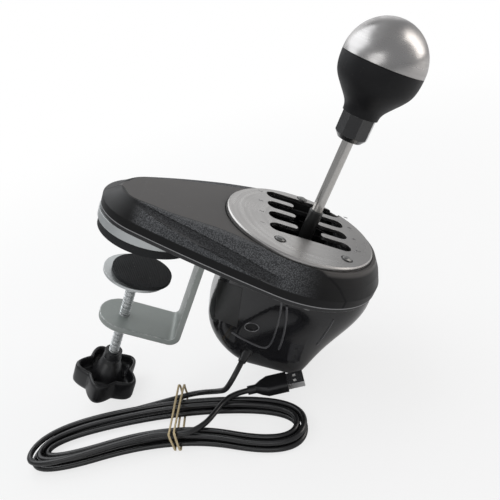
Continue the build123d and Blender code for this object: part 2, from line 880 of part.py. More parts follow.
def make_board_spacers():
    right = pivot.X + bearing_reach + bearing_plate_thickness
    left = pivot.X - bearing_reach - bearing_plate_thickness
    spacers = []
    for side in (-1, 1):
        y = pivot.Y + side * spacer_spread
        spacers.append(along_x(right, select_magnet_end() + select_board_gap, spacer_radius, y, pivot.Z))
        spacers.append(along_x(left - main_board_gap, left, spacer_radius, y, main_board_z))
    return group(spacers)


# Lever
def make_sleeve():
    edge = sleeve_radius - rod_radius
    form = turned(
        [
            (0, sleeve_bottom_z),
            (sleeve_radius, sleeve_bottom_z),
            (sleeve_radius, sleeve_top_z - edge),
            (rod_radius + edge / 2, sleeve_top_z),
            (0, sleeve_top_z),
        ],
        pivot.X,
        pivot.Y,
    )
    return form - lever_rod_piece(sleeve_bottom_z - overrun, sleeve_top_z + overrun, rod_radius + press_gap)


def make_nut():
    outline = RegularPolygon(nut_corner_radius, nut_sides)
    prism = Pos(pivot.X, pivot.Y, nut_bottom_z) * extrude(outline, nut_top_z - nut_bottom_z)
    cone = turned(
        [
            (0, nut_bottom_z),
            (nut_foot_radius, nut_bottom_z),
            (nut_corner_radius, nut_bottom_z + nut_chamfer),
            (nut_corner_radius, nut_top_z),
            (0, nut_top_z),
        ],
        pivot.X,
        pivot.Y,
    )
    return (prism & cone) - lever_rod_piece(nut_bottom_z - overrun, nut_top_z + overrun, rod_radius + press_gap)


def make_grip():
    # the flared rubber skirt up to the metal half of the ball
    top = ball_z - ball_seam
    outline = [
        Polyline((0, 0, top), (0, 0, nut_top_z), (grip_neck_radius, 0, nut_top_z)),
        Spline(
            (grip_neck_radius, 0, nut_top_z),
            (grip_waist_radius, 0, grip_waist_z),
            (grip_flare_radius, 0, grip_flare_z),
            (ball_radius, 0, top),
            tangents=[(0, 0, 1), (0, 0, 1)],
        ),
        Line((ball_radius, 0, top), (0, 0, top)),
    ]
    form = Pos(pivot.X, pivot.Y, 0) * revolve(make_face(outline), Axis.Z)
    form -= lever_rod_piece(nut_top_z - overrun, rod_top_z + slip_gap, insert_radius + press_gap)
    return form - lever_rod_piece(top - core_spigot_length, top + overrun, core_spigot_radius + press_gap)


def dome(radius, floor):
    ball = Pos(pivot.X, pivot.Y, ball_z) * Sphere(radius)
    return ball & Pos(pivot.X, pivot.Y, floor + radius) * Box(3 * radius, 3 * radius, 2 * radius)


def make_insert():
    tube = lever_rod_piece(nut_top_z, rod_top_z, insert_radius)
    return tube - lever_rod_piece(nut_top_z - overrun, rod_top_z + overrun, rod_radius + press_gap)


def make_core():
    inner = dome(ball_radius - ball_wall - press_gap, ball_z)
    return inner + lever_rod_piece(ball_z - ball_seam - core_spigot_length, ball_z + ball_wall, core_spigot_radius)


def make_collar():
    bottom = sleeve_bottom_z - collar_disc_thickness
    disc = lever_rod_piece(bottom, sleeve_bottom_z, collar_disc_radius)
    return disc - lever_rod_piece(bottom - overrun, sleeve_bottom_z + overrun, rod_radius + press_gap)


# Screws of the casings
def screw(x, y, seat, side, head_radius, head_height, shank_radius, length):
    # head on the far side of seat, shank towards side (1 up, -1 down)
    head_end = seat - side * head_height
    shank_end = seat + side * length
    head = rod(x, y, min(seat, head_end), max(seat, head_end), head_radius)
    return head + rod(x, y, min(seat, shank_end), max(seat, shank_end), shank_radius)


def make_cover_screws():
    return group(
        [
            screw(
                x, y, base_bottom_z, 1, cover_screw_head_radius, cover_screw_head_height,
                cover_screw_shank_radius - press_gap, cover_screw_length,
            )
            for x, y in cover_screw_places
        ]
    )


def make_housing_screws():
    return group(
        [
            screw(
                x, y, seam_z, -1, housing_screw_head_radius, housing_screw_head_height,
                housing_screw_radius - press_gap, housing_screw_length,
            )
            for x, y in housing_screw_places
        ]
    )


def strap_nut(x, y):
    nut = Pos(x, y, seam_z) * extrude(RegularPolygon(strap_nut_radius, 6), strap_nut_height)
    return nut - rod(x, y, seam_z - overrun, seam_z + strap_nut_height + overrun, strap_bolt_radius + press_gap)


# Every piece of the shifter by name, in the level attitude
level = {
    "gate_plate": make_gate(),
    "gate_screws": group([gate_screw(x, y) for x, y in gate_screw_places]),
    "gate_liner": make_liner(),
    "gate_support": make_support(),
    "support_posts": group(rods(post_places, seam_z, support_bottom_z, post_radius)),
    "top_cover": make_cover(),
    "base_plate": make_base(),
    "jaw_plate": make_jaw_plate(),
    "jaw_pad": rod(clamp_x, 0, jaw_bottom_z - jaw_pad_thickness, jaw_bottom_z, jaw_pad_radius),
    "clamp_bracket": make_bracket(),
    "bracket_bolts": group([strap_bolt(x, y) for x, y in strap_bolt_places]),
    "bracket_nuts": group([strap_nut(x, y) for x, y in strap_bolt_places]),
    "cover_screws": make_cover_screws(),
    "housing_screws": make_housing_screws(),
    "clamp_screw": make_clamp_screw(),
    "screw_collar": rod(clamp_x, 0, collar_top_z - collar_height, collar_top_z, collar_radius)
    - rod(clamp_x, 0, collar_top_z - collar_height - overrun, collar_top_z + overrun, screw_radius + press_gap),
    "swivel_disc": make_swivel(),
    "swivel_rubber": rod(clamp_x + pad_slip, 0, pad_top_z - pad_thickness, pad_top_z, pad_radius),
    "clamp_knob": make_clamp_knob(),
    "clamp_knob_plug": rod(clamp_x, 0, knob_bottom_z, knob_bottom_z + knob_cap_height, knob_cap_radius),
    "mechanism_housing": make_housing(),
    "port_shell": make_port_shell(),
    "port_core": make_port_core(),
    "cord_gland": make_gland(),
    "bearing_plates": group([make_bearing_plate(-1), make_bearing_plate(1)]),
    "bearing_bushes": group([make_bush(-1), make_bush(1)]),
    "selector_shafts": group([make_shaft(-1), make_shaft(1)]),
    "selector_yoke": make_yoke(),
    "detent_arc": make_detent_arc(),
    "centering_spring": make_centering_spring(),
    "select_magnet": make_select_magnet(),
    "select_board": make_select_board(),
    "main_board": make_main_board(),
    "board_spacers": make_board_spacers(),
    "lever_block": lean(make_block()),
    "lever_pin": along_y(pivot.Y - yoke_half_width, pivot.Y + yoke_half_width, pin_radius, pivot.X, pivot.Z),
    "detent_plunger": lean(make_plunger()),
    "lever_guide": lean(make_guide()),
    "press_spring": lean(make_press_spring()),
    "lever_rod": lean(lever_rod_piece(rod_bottom_z, rod_top_z, rod_radius)),
    "lever_sleeve": lean(make_sleeve()),
    "lever_collar": lean(make_collar()),
    "knob_nut": lean(make_nut()),
    "knob_insert": lean(make_insert()),
    "knob_grip": lean(make_grip()),
    "knob_core": lean(make_core()),
    "knob_cap": lean(dome(ball_radius, ball_z) - dome(ball_radius - ball_wall, ball_z - overrun)),
}

# The attitude in which it lies: tipped about Y until the rim of the clamp knob
# and the right bottom edge of the housing both touch the floor
def resting_tilt():
    rim = knob_lobe_centre + knob_lobe_radius - knob_chamfer
    lobe_angle = radians(180 + knob_turn + round(knob_lobes / 2) * 360 / knob_lobes - 360)
    spread = acos((rim**2 + knob_lobe_centre**2 - knob_lobe_radius**2) / (2 * rim * knob_lobe_centre))
    rim_x = clamp_x + rim * cos(abs(lobe_angle) - spread)
    corner_x = housing_right * housing_right_shares[-1]
    tilt = atan2(housing_bottom_z - knob_bottom_z, corner_x - rim_x)
    return degrees(tilt), rim_x * sin(tilt) - knob_bottom_z * cos(tilt)


tilt, gate_height = resting_tilt()
tipped = Pos(0, 0, gate_height) * Rot(0, tilt, 0)
lying = {name: tipped * shape for name, shape in level.items()}
boxes = [shape.bounding_box() for shape in lying.values()]
gate_x = -(min(box.min.X for box in boxes) + max(box.max.X for box in boxes)) / 2
placed = {name: Pos(gate_x, 0, 0) * shape for name, shape in lying.items()}
floor_place = Pos(gate_x, 0, 0)


# Cord, drawn on the floor
def fillet_radii(route):
    radii = []
    for before, corner, after in zip(route, route[1:], route[2:]):
        into, out = corner - before, after - corner
        turn = radians(into.get_angle(out))
        radii.append(0.45 * min(into.length, out.length) / tan(turn / 2))
    return radii


def least_gap(path):
    # least distance between stretches of the path that are not neighbours
    count = ceil(path.length / cord_radius)
    spots = [tuple(path @ (k / count)) for k in range(count + 1)]
    apart = ceil(12 * cord_radius / (path.length / count))
    pairs = ((i, j) for i in range(count + 1) for j in range(i + apart, count + 1))
    return min((dist(spots[i], spots[j]) for i, j in pairs), default=path.length) - 2 * cord_radius


def tube(name, route):
    radii = fillet_radii(route)
    path = FilletPolyline(*route, radius=radii)
    form = sweep(Plane(path @ 0, z_dir=path % 0) * Circle(cord_radius), path)
    print(name, "radii", [round(r, 1) for r in radii], "length", round(path.length, 1))
    print(name, "volume over section times length", round(form.volume / (pi * cord_radius**2 * path.length), 4))
    print(name, "least gap to itself", round(least_gap(path), 2))
    return form, path.length


def hank_spot(along, across, height):
    turn = radians(hank_turn)
    x = hank_x + along * cos(turn) - across * sin(turn)
    y = hank_y + along * sin(turn) + across * cos(turn)
    return Vector(x, y, height)


def hank_corner(count):
    # the corners of a turn, drawn in by the steps as the turns spiral inwards
    turns = count / len(hank_corners)
    per_layer = hank_turns / hank_layers
    layer = min(int(turns / per_layer), hank_layers - 1)
    inside = turns - layer * per_layer
    rings = inside if layer % 2 == 0 else per_layer - inside
    climb = sum(min(max(2 * (turns - k * per_layer) + 0.5, 0), 1) for k in range(1, hank_layers))
    climb += min(max(2 * (turns - hank_turns) + 1, 0), 1)
    along, across = hank_corners[count % len(hank_corners)]
    step_along, step_across = hank_steps[count % len(hank_corners)]
    lift = 0 if along else waist_lift
    height = cord_radius + lift + layer_step * climb
    return hank_spot(along + rings * step_along, across + rings * step_across, height)


def hank_route():
    total = round(len(hank_corners) * hank_turns)
    first = hank_spot(*hank_start, cord_radius + waist_lift)
    end = hank_spot(*hank_end, hank_corner(total).Z)
    way_out = hank_spot(1, 0, 0) - hank_spot(0, 0, 0)
    return [first, *[hank_corner(k) for k in range(1, total)], end, end + way_out * hank_end_run]


def make_plug():
    place = Location(Plane(Vector(*plug_start), x_dir=Vector(0, 0, 1).cross(plug_way), z_dir=plug_way))
    neck = Circle(plug_neck_radius)
    waist = Pos(0, 0, plug_length / 3) * RectangleRounded(plug_width * 0.7, plug_height * 0.9, plug_corner)
    front = Pos(0, 0, plug_length / 2) * RectangleRounded(plug_width, plug_height, plug_corner)
    body = extrude(neck, plug_length / 5)
    body += loft([Pos(0, 0, plug_length / 5) * neck, waist, front], ruled=True)
    body += extrude(front, plug_length / 2)
    pocket = Rectangle(plug_shell_width + 2 * press_gap, plug_shell_height + 2 * press_gap)
    body -= Pos(0, 0, plug_length - plug_shell_seat) * extrude(pocket, plug_shell_seat + overrun)
    inner_width, inner_height = (
        plug_shell_width - 2 * plug_shell_wall,
        plug_shell_height - 2 * plug_shell_wall,
    )
    frame = Rectangle(plug_shell_width, plug_shell_height) - Rectangle(inner_width, inner_height)
    shell_bottom = plug_length - plug_shell_seat
    shell = Pos(0, 0, shell_bottom) * extrude(frame, plug_shell_length + plug_shell_seat)
    for side in (-1, 1):
        window = Box(plug_window_size, plug_shell_height + overrun, plug_window_size)
        shell -= Pos(side * plug_window_spread, 0, plug_length + plug_window_reach) * window
    tongue = Pos(0, (inner_height - plug_tongue_height) / 2 - press_gap, shell_bottom) * extrude(
        Rectangle(inner_width - slip_gap, plug_tongue_height), plug_shell_length + plug_shell_seat - slip_gap
    )
    return place * body, place * shell, place * tongue


def make_tie():
    # an elastic band in two strands, drawn tight round the waist
    gap = slip_gap + tie_thickness / 2
    low = tie_thickness / 2
    top_far = 2 * cord_radius + waist_lift + (hank_layers - 1) * layer_step + gap
    top_near = top_far + layer_step + cord_radius / 2
    corners = ((tie_near, low), (tie_near, top_near), (tie_far, top_far), (tie_far, low))
    inside = make_face(FilletPolyline(*corners, radius=tie_corner, close=True))
    ring = offset(inside, tie_thickness / 2) - offset(inside, -tie_thickness / 2)
    along = hank_spot(1, 0, 0) - hank_spot(0, 0, 0)
    across = hank_spot(0, 1, 0) - hank_spot(0, 0, 0)
    strands = []
    for side in (-1, 1):
        origin = hank_spot(side * tie_spread - tie_width / 2, 0, 0)
        strands.append(Location(Plane(origin, x_dir=across, z_dir=along)) * extrude(ring, tie_width))
    return group(strands)


gland_tip = tipped * gland_place * Pos(0, 0, gland_tip_length)
gland_out = tipped * gland_place * Pos(0, 0, gland_tip_length + 5 * cord_radius)
hank_points = hank_route()
hank_way_in = (hank_points[1] - hank_points[0]).normalized()
hank_way_out = (hank_points[-1] - hank_points[-2]).normalized()
plug_way = (Vector(*plug_aim) - Vector(*plug_start)).normalized()
lead_points = [gland_tip.position, gland_out.position, *[Vector(*p) for p in lead_route]]
lead_points += [hank_points[0] - hank_way_in * 4 * cord_radius, hank_points[0]]
plug_points = [hank_points[-1], hank_points[-1] + hank_way_out * 4 * cord_radius]
plug_points += [Vector(*p) for p in plug_route]
plug_points += [Vector(*plug_start) - plug_way * plug_run, Vector(*plug_start)]
cord_lead, lead_length = tube("cord_lead", lead_points)
cord_hank, hank_length = tube("cord_hank", hank_points)
plug_lead, plug_lead_length = tube("plug_lead", plug_points)
print("cord length", round(lead_length + hank_length + plug_lead_length, 1))
plug_body, plug_shell, plug_tongue = make_plug()
on_floor = {
    "cord_lead": cord_lead,
    "cord_hank": cord_hank,
    "cord_tie": make_tie(),
    "plug_lead": plug_lead,
    "plug_body": plug_body,
    "plug_shell": plug_shell,
    "plug_tongue": plug_tongue,
}
for name, shape in on_floor.items():
    placed[name] = floor_place * shape

os.makedirs("parts", exist_ok=True)
for name, shape in placed.items():
    export_step(shape, f"parts/{name}.step")
print("tilt", round(tilt, 3), "gate centre", round(gate_x, 3), round(gate_height, 3))
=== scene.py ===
import json
import math

import bmesh
import bpy
from mathutils import Matrix, Vector
from mathutils.bvhtree import BVHTree


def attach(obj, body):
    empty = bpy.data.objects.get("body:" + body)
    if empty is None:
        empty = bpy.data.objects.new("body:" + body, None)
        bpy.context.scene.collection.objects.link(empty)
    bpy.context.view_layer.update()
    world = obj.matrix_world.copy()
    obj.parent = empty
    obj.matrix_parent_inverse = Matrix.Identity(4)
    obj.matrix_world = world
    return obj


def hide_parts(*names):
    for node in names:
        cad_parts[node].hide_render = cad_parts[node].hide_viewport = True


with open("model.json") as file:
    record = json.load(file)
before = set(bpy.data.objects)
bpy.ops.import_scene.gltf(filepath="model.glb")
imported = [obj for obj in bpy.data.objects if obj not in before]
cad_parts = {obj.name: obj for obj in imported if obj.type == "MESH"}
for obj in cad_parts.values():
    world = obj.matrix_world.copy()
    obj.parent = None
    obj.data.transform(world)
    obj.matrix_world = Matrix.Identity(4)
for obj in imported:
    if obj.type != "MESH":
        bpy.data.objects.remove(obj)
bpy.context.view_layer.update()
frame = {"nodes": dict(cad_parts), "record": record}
nodes = frame["nodes"]
scene = bpy.context.scene
print("frame loaded,", len(nodes), "CAD nodes")

# The shifter was drawn level, in millimetres from the centre of its gate, and lies tipped on the floor
rest = {"angle": math.radians(31.388), "gateX": 52.384, "gateZ": 115.189}
levelToRow = (
    Matrix.Translation((rest["gateX"] / 1000, 0, rest["gateZ"] / 1000))
    @ Matrix.Rotation(rest["angle"], 4, "Y")
    @ Matrix.Scale(0.001, 4)
)


def addObject(name, data):
    made = bpy.data.objects.new(name, data)
    scene.collection.objects.link(made)
    return made


# camera at the photograph's viewing angle
photoCamera = {
    "place": (0.05004, -0.34635, 0.28714),
    "right": (0.97623, -0.01540, -0.21617),
    "down": (-0.19773, -0.47161, -0.85935),
    "ahead": (-0.08871, 0.88167, -0.46345),
    "lens": 40.41,
    "sensor": 36,
    "clip": (0.01, 50),
    "shiftX": -0.0028,
    "shiftY": -0.0042,
    "pixels": 500,    # the width and the height of the photograph
}


def makeCamera(settings):
    data = bpy.data.cameras.new("photoCamera")
    data.lens = settings["lens"]
    data.sensor_width = settings["sensor"]
    data.shift_x, data.shift_y = settings["shiftX"], settings["shiftY"]
    data.clip_start, data.clip_end = settings["clip"]
    camera = addObject("photoCamera", data)
    turn = Matrix([settings["right"], -Vector(settings["down"]), -Vector(settings["ahead"])]).transposed()
    camera.matrix_world = Matrix.Translation(settings["place"]) @ turn.to_4x4()
    scene.camera = camera


def pixelRay(x, y):
    # from the camera through a pixel of the photograph
    pixels = photoCamera["pixels"]
    focal = photoCamera["lens"] / photoCamera["sensor"] * pixels
    middleX = (0.5 - photoCamera["shiftX"]) * pixels
    middleY = (0.5 + photoCamera["shiftY"]) * pixels
    right, down, ahead = (Vector(photoCamera[k]) for k in ("right", "down", "ahead"))
    way = right * (x - middleX) / focal + down * (y - middleY) / focal + ahead
    return Vector(photoCamera["place"]), way.normalized()


makeCamera(photoCamera)
print("camera made")


# helpers for nodes
def setInput(tree, socket, value):
    # another node's output is linked to the socket, and a plain value is written on it
    if isinstance(value, bpy.types.NodeSocket):
        tree.links.new(value, socket)
    elif value is not None:
        socket.default_value = value


def addNode(tree, kind, **inputs):
    # a node with its inputs filled, where an underscore in a name stands for a space
    node = tree.nodes.new(kind)
    for label, value in inputs.items():
        setInput(tree, node.inputs[label.replace("_", " ")], value)
    return node


def addOperation(tree, kind, operation, values):
    node = tree.nodes.new(kind)
    node.operation = operation
    for socket, value in zip(node.inputs, values):
        setInput(tree, socket, value)
    return node


def addMath(tree, operation, *values, clamp=False):
    node = addOperation(tree, "ShaderNodeMath", operation, values)
    node.use_clamp = clamp
    return node.outputs[0]


def addVectorMath(tree, operation, *values):
    return addOperation(tree, "ShaderNodeVectorMath", operation, values).outputs


def addNoise(tree, vector, scale, detail=2.0, roughness=0.5):
    return addNode(tree, "ShaderNodeTexNoise", Vector=vector, Scale=scale, Detail=detail,
                   Roughness=roughness).outputs[0]


def addRange(tree, value, fromLow, fromHigh, toLow=0.0, toHigh=1.0, soft=False):
    node = addNode(tree, "ShaderNodeMapRange", Value=value, From_Min=fromLow, From_Max=fromHigh,
                   To_Min=toLow, To_Max=toHigh)
    node.interpolation_type = "SMOOTHSTEP" if soft else "LINEAR"
    return node.outputs[0]


def addTimes(tree, first, *others):
    for other in others:
        first = addMath(tree, "MULTIPLY", first, other)
    return first


def fadeIn(tree, value, span):
    return addRange(tree, value, *span, soft=True)


def fadeOut(tree, value, span):
    return addRange(tree, value, *span, 1.0, 0.0, True)


def splitVector(tree, vector):
    return addNode(tree, "ShaderNodeSeparateXYZ", Vector=vector).outputs


def joinVector(tree, x, y, z):
    return addNode(tree, "ShaderNodeCombineXYZ", X=x, Y=y, Z=z).outputs[0]


def addMix(tree, mask, first, second):
    node = addNode(tree, "ShaderNodeMix", Factor=mask)
    node.data_type = "RGBA"
    for place, value in ((6, first), (7, second)):
        setInput(tree, node.inputs[place], (*value, 1) if isinstance(value, tuple) else value)
    return node.outputs[2]


def addBump(tree, height, distance, strength, normal):
    return addNode(tree, "ShaderNodeBump", Height=height, Distance=distance, Strength=strength,
                   Normal=normal).outputs[0]


def addMapping(tree, vector, place=(0, 0, 0), turn=(0, 0, 0), scale=(1, 1, 1)):
    return addNode(tree, "ShaderNodeMapping", Vector=vector, Location=place, Rotation=turn,
                   Scale=scale).outputs[0]


def newGroup(name, kind, inputs, outputs):
    # a group with named inputs and outputs, each a dictionary of labels and kinds of socket
    group = bpy.data.node_groups.new(name, kind)
    for way, sockets in (("INPUT", inputs), ("OUTPUT", outputs)):
        for label, socket in sockets.items():
            group.interface.new_socket(label, in_out=way, socket_type="NodeSocket" + socket)
    return group, group.nodes.new("NodeGroupInput").outputs, group.nodes.new("NodeGroupOutput").inputs


# shader effects that several finishes share
def newEffect(name, size, **outputs):
    return newGroup(name, "ShaderNodeTree", {"Vector": "Vector", size: "Float"}, outputs)


skinLook = {"fineNoise": (3.0, 0.55), "broadNoise": (4.0, 0.6), "broadTimes": 45.0, "patchBand": (0.3, 0.7)}
rubbedEdgeAndHighlightLook = {"samples": 6, "strength": 7.0, "breakScale": 260.0, "breakNoise": (4.0, 0.65),
           "breakBand": (0.38, 0.62)}
dustLook = {"speckScale": 420.0, "speckBand": (0.05, 0.14), "patchScale": 90.0, "patchNoise": (3.0, 0.6),
            "patchBand": (0.5, 0.66), "upBand": (0.1, 0.9), "sideShare": 0.15}
brushLook = {"stretch": (1.0, 0.03, 0.03), "lineNoise": (2.0, 0.6), "streakTimes": 9.0,
             "streakNoise": (3.0, 0.6), "streakBand": (0.3, 0.7), "streakShare": 0.6,
             "glossBand": (-0.05, 0.06), "perRadian": 20.0}


def mouldedGrain():
    # fine pimples of a moulded or cast skin, and the broad patches in its gloss
    group, given, made = newEffect("mouldedGrain", "Size", Height="Float", Patches="Float")
    scale = addMath(group, "DIVIDE", 1.0, given["Size"])
    fine = addNoise(group, given["Vector"], scale, *skinLook["fineNoise"])
    broadScale = addMath(group, "DIVIDE", scale, skinLook["broadTimes"])
    broad = addNoise(group, given["Vector"], broadScale, *skinLook["broadNoise"])
    group.links.new(fine, made["Height"])
    group.links.new(fadeIn(group, broad, skinLook["patchBand"]), made["Patches"])
    return group


def roundedEdge():
    # softens sharp edges and finds where hands and tables have rubbed them, where the lighter edge colour is
    # also a painted highlight
    group, given, made = newEffect("roundedEdge", "Radius", Normal="Vector", Wear="Float")
    bevel = addNode(group, "ShaderNodeBevel", Radius=given["Radius"])
    bevel.samples = rubbedEdgeAndHighlightLook["samples"]
    geometry = group.nodes.new("ShaderNodeNewGeometry")
    dot = addVectorMath(group, "DOT_PRODUCT", bevel.outputs[0], geometry.outputs["Normal"])["Value"]
    rubbed = addMath(group, "MULTIPLY", addMath(group, "SUBTRACT", 1.0, dot), rubbedEdgeAndHighlightLook["strength"], clamp=True)
    breaks = addNoise(group, given["Vector"], rubbedEdgeAndHighlightLook["breakScale"], *rubbedEdgeAndHighlightLook["breakNoise"])
    breaks = addRange(group, breaks, *rubbedEdgeAndHighlightLook["breakBand"])
    group.links.new(bevel.outputs[0], made["Normal"])
    group.links.new(addTimes(group, rubbed, breaks), made["Wear"])
    return group


def dustSpecks():
    # loose specks of dust that lie thicker on what faces up
    group, given, made = newEffect("dustSpecks", "Share", Mask="Float")
    specks = addNode(group, "ShaderNodeTexVoronoi", Vector=given["Vector"], Scale=dustLook["speckScale"])
    dots = addRange(group, specks.outputs["Distance"], *dustLook["speckBand"], 1.0, 0.0)
    patches = addNoise(group, given["Vector"], dustLook["patchScale"], *dustLook["patchNoise"])
    where = addRange(group, patches, *dustLook["patchBand"])
    geometry = group.nodes.new("ShaderNodeNewGeometry")
    facing = splitVector(group, geometry.outputs["Normal"])["Z"]
    up = addRange(group, facing, *dustLook["upBand"], dustLook["sideShare"], 1.0)
    group.links.new(addTimes(group, dots, where, up, given["Share"]), made["Mask"])
    return group


def brushedLines():
    # hairlines of a brush or a lathe, across the first axis of the vector that it is given
    group, given, made = newEffect("brushedLines", "Pitch", Height="Float", Streaks="Float")
    stretched = addVectorMath(group, "MULTIPLY", given["Vector"], brushLook["stretch"])[0]
    scale = addMath(group, "DIVIDE", 1.0, given["Pitch"])
    lines = addNoise(group, stretched, scale, *brushLook["lineNoise"])
    streakScale = addMath(group, "DIVIDE", scale, brushLook["streakTimes"])
    streaks = addNoise(group, stretched, streakScale, *brushLook["streakNoise"])
    group.links.new(lines, made["Height"])
    group.links.new(addRange(group, streaks, *brushLook["streakBand"]), made["Streaks"])
    return group


effects = {"grain": mouldedGrain(), "edge": roundedEdge(), "dust": dustSpecks(), "brush": brushedLines()}
print("shader groups made")


def placeEffect(tree, effect, vector, **values):
    node = tree.nodes.new("ShaderNodeGroup")
    node.node_tree = effects[effect]
    tree.links.new(vector, node.inputs["Vector"])
    for label, value in values.items():
        node.inputs[label].default_value = value
    return node


def levelVector(tree, vector, centre=(0, 0, 0)):
    # millimetres in the level attitude, from the given point
    c, s = math.cos(rest["angle"]), math.sin(rest["angle"])
    x, z = rest["gateX"], rest["gateZ"]
    place = (-(x * c - z * s) - centre[0], -centre[1], -(x * s + z * c) - centre[2])
    return addMapping(tree, vector, place, (0, -rest["angle"], 0), (1000, 1000, 1000))


def roundVector(tree, vector):
    # radius, turn and height round the Z axis of the vector, all as lengths
    x, y, z = splitVector(tree, vector)
    across = addMath(tree, "SQRT", addMath(tree, "ADD", addTimes(tree, x, x), addTimes(tree, y, y)))
    return across, addTimes(tree, addMath(tree, "ARCTAN2", y, x), brushLook["perRadian"]), z


finishes = {}
plainLook = {"grain": 0.0006, "edge": 0.0004, "depth": 0.00002, "dust": 0.3,
             "dustColour": (0.42, 0.40, 0.37), "metallic": 0.0, "specular": 0.5, "coat": 0.0,
             "coatRoughness": 0.1, "anisotropic": 0.0}
lookSockets = {"metallic": "Metallic", "specular": "Specular IOR Level", "coat": "Coat Weight",
               "coatRoughness": "Coat Roughness", "anisotropic": "Anisotropic"}


def addFinish(slotName, name, colour, patches, roughness, extra=None, **own):
    # one procedural finish: patches in colour and gloss, grain or turning, rubbed edges with painted
    # highlights, dust
    look = {**plainLook, "colour": colour, "rubbed": patches, **own}
    material = bpy.data.materials.new(name)
    material.use_nodes = True
    tree = material.node_tree
    shader = tree.nodes["Principled BSDF"]
    objectSpace = tree.nodes.new("ShaderNodeTexCoord").outputs["Object"]
    grain = placeEffect(tree, "grain", objectSpace, Size=look["grain"])
    edge = placeEffect(tree, "edge", objectSpace, Radius=look["edge"])
    dust = placeEffect(tree, "dust", objectSpace, Share=look["dust"])
    colour = addMix(tree, grain.outputs["Patches"], colour, patches)
    # edges turn lighter, partly as wear and partly as a painted highlight
    colour = addMix(tree, edge.outputs["Wear"], colour, look["rubbed"])
    colour = addMix(tree, dust.outputs["Mask"], colour, look["dustColour"])
    parts = {"tree": tree, "space": objectSpace, "colour": colour, "look": look,
             "roughness": addRange(tree, grain.outputs["Patches"], 0.0, 1.0, *roughness),
             "height": grain.outputs["Height"], "normal": edge.outputs["Normal"]}
    if extra:
        extra(parts)
    tree.links.new(parts["colour"], shader.inputs["Base Color"])
    tree.links.new(parts["roughness"], shader.inputs["Roughness"])
    bump = addBump(tree, parts["height"], look["depth"], 1.0, parts["normal"])
    tree.links.new(bump, shader.inputs["Normal"])
    for key, label in lookSockets.items():
        shader.inputs[label].default_value = look[key]
    finishes[slotName] = material


def turnedMarks(centre, turn, pitch, surface):
    # the fine marks of a lathe on the face or the side of a metal piece, round an axis of the level attitude
    def marked(parts):
        tree = parts["tree"]
        vector = addMapping(tree, levelVector(tree, parts["space"], centre), turn=turn)
        across, around, along = roundVector(tree, vector)
        if surface == "side":
            across, along = along, across
        lines = placeEffect(tree, "brush", joinVector(tree, across, around, along), Pitch=pitch)
        parts["height"] = lines.outputs["Height"]
        streaks = addMix(tree, lines.outputs["Streaks"], parts["look"]["colour"], parts["look"]["streaks"])
        parts["colour"] = addMix(tree, brushLook["streakShare"], parts["colour"], streaks)
        gloss = addRange(tree, lines.outputs["Streaks"], 0.0, 1.0, *brushLook["glossBand"])
        parts["roughness"] = addMath(tree, "ADD", parts["roughness"], gloss)
    return marked


# the cover: smooth panel on top, grained flanks with a smooth flute along them
cover = {    # millimetres in the level attitude
    "panelHalfWidth": [(-125, 0), (-121, 4), (-112, 17.5), (-100, 22.5), (-87, 28), (-73, 31.5), (-62, 34),
                       (-51, 37), (-38, 41.5), (-20, 47), (0, 52), (60, 60)],
    "fluteTop": [(-125, -8.4), (-100, -8.0), (-87, -7.7), (-66, -7.5), (-50, -7.9), (-37, -8.7),
                 (-24, -10.3), (0, -13.4)],
    "fluteBottom": [(-125, -10.2), (-100, -10.7), (-86, -11.3), (-66, -12.2), (-53, -13.2), (-40, -14.6),
                    (-24, -17.0), (0, -17.6)],
    "panelSpan": (0, 60),
    "fluteSpan": (-20, -5),
    "fluteDepth": 2.2,
    "fluteSharpness": 0.7,
    "fluteStart": (-112.0, -96.0),
    "fluteEnd": (-26.0, -8.0),
    "grainStart": (-112.0, -100.0),
    "grainEnd": (-16.0, 14.0),
    "grainBottom": (-17.2, -16.6),
    "panelEdge": (-0.6, 0.8),
    "panelStep": 0.55,
    "lipHighlightBand": (0.0, 0.22),
    "tipHighlightBand": (0.05, 0.6),
    "grainInFlute": 0.4,
    "rim": (-22.55, -22.15),
    "wallShadeTop": (-5.5, -3.5),
    "wallShadeStart": (-20.0, -4.0),
    "pimplesPerMetre": 1350.0,
    "pimpleHeight": 0.0005,    # metres
    "pimpleSmoothness": 0.6,
    "grainRougher": 0.08,
    "fluteGlossier": 0.16,
    # tints: painted shade on the flanks and the front wall, the grain's own grey, and painted highlights on
    # the flute's lip, the seam rim and the grain's tips
    "flankAndWallShade": (0.97, (0.006, 0.006, 0.0065)),
    "grainTint": (0.9, (0.045, 0.047, 0.050)),
    "lipHighlightTint": (0.6, (0.16, 0.16, 0.165)),
    "seamRimHighlight": (0.55, (0.62, 0.62, 0.63)),
    "tipHighlightTint": (0.9, (0.19, 0.195, 0.205)),
}


def addCurve(tree, value, points, low, high):
    # a smooth line through the points, read at a length in millimetres
    left, right = points[0][0], points[-1][0]
    node = tree.nodes.new("ShaderNodeFloatCurve")
    tree.links.new(addRange(tree, value, left, right), node.inputs["Value"])
    line = node.mapping.curves[0]
    spots = [((x - left) / (right - left), (y - low) / (high - low)) for x, y in points]
    line.points[0].location, line.points[1].location = spots[0], spots[-1]
    for spot in spots[1:-1]:
        line.points.new(*spot)
    node.mapping.update()
    return addRange(tree, node.outputs[0], 0.0, 1.0, low, high)


def tintBy(parts, mask, strength, colour):
    mask = addTimes(parts["tree"], mask, strength)
    parts["colour"] = addMix(parts["tree"], mask, parts["colour"], colour)


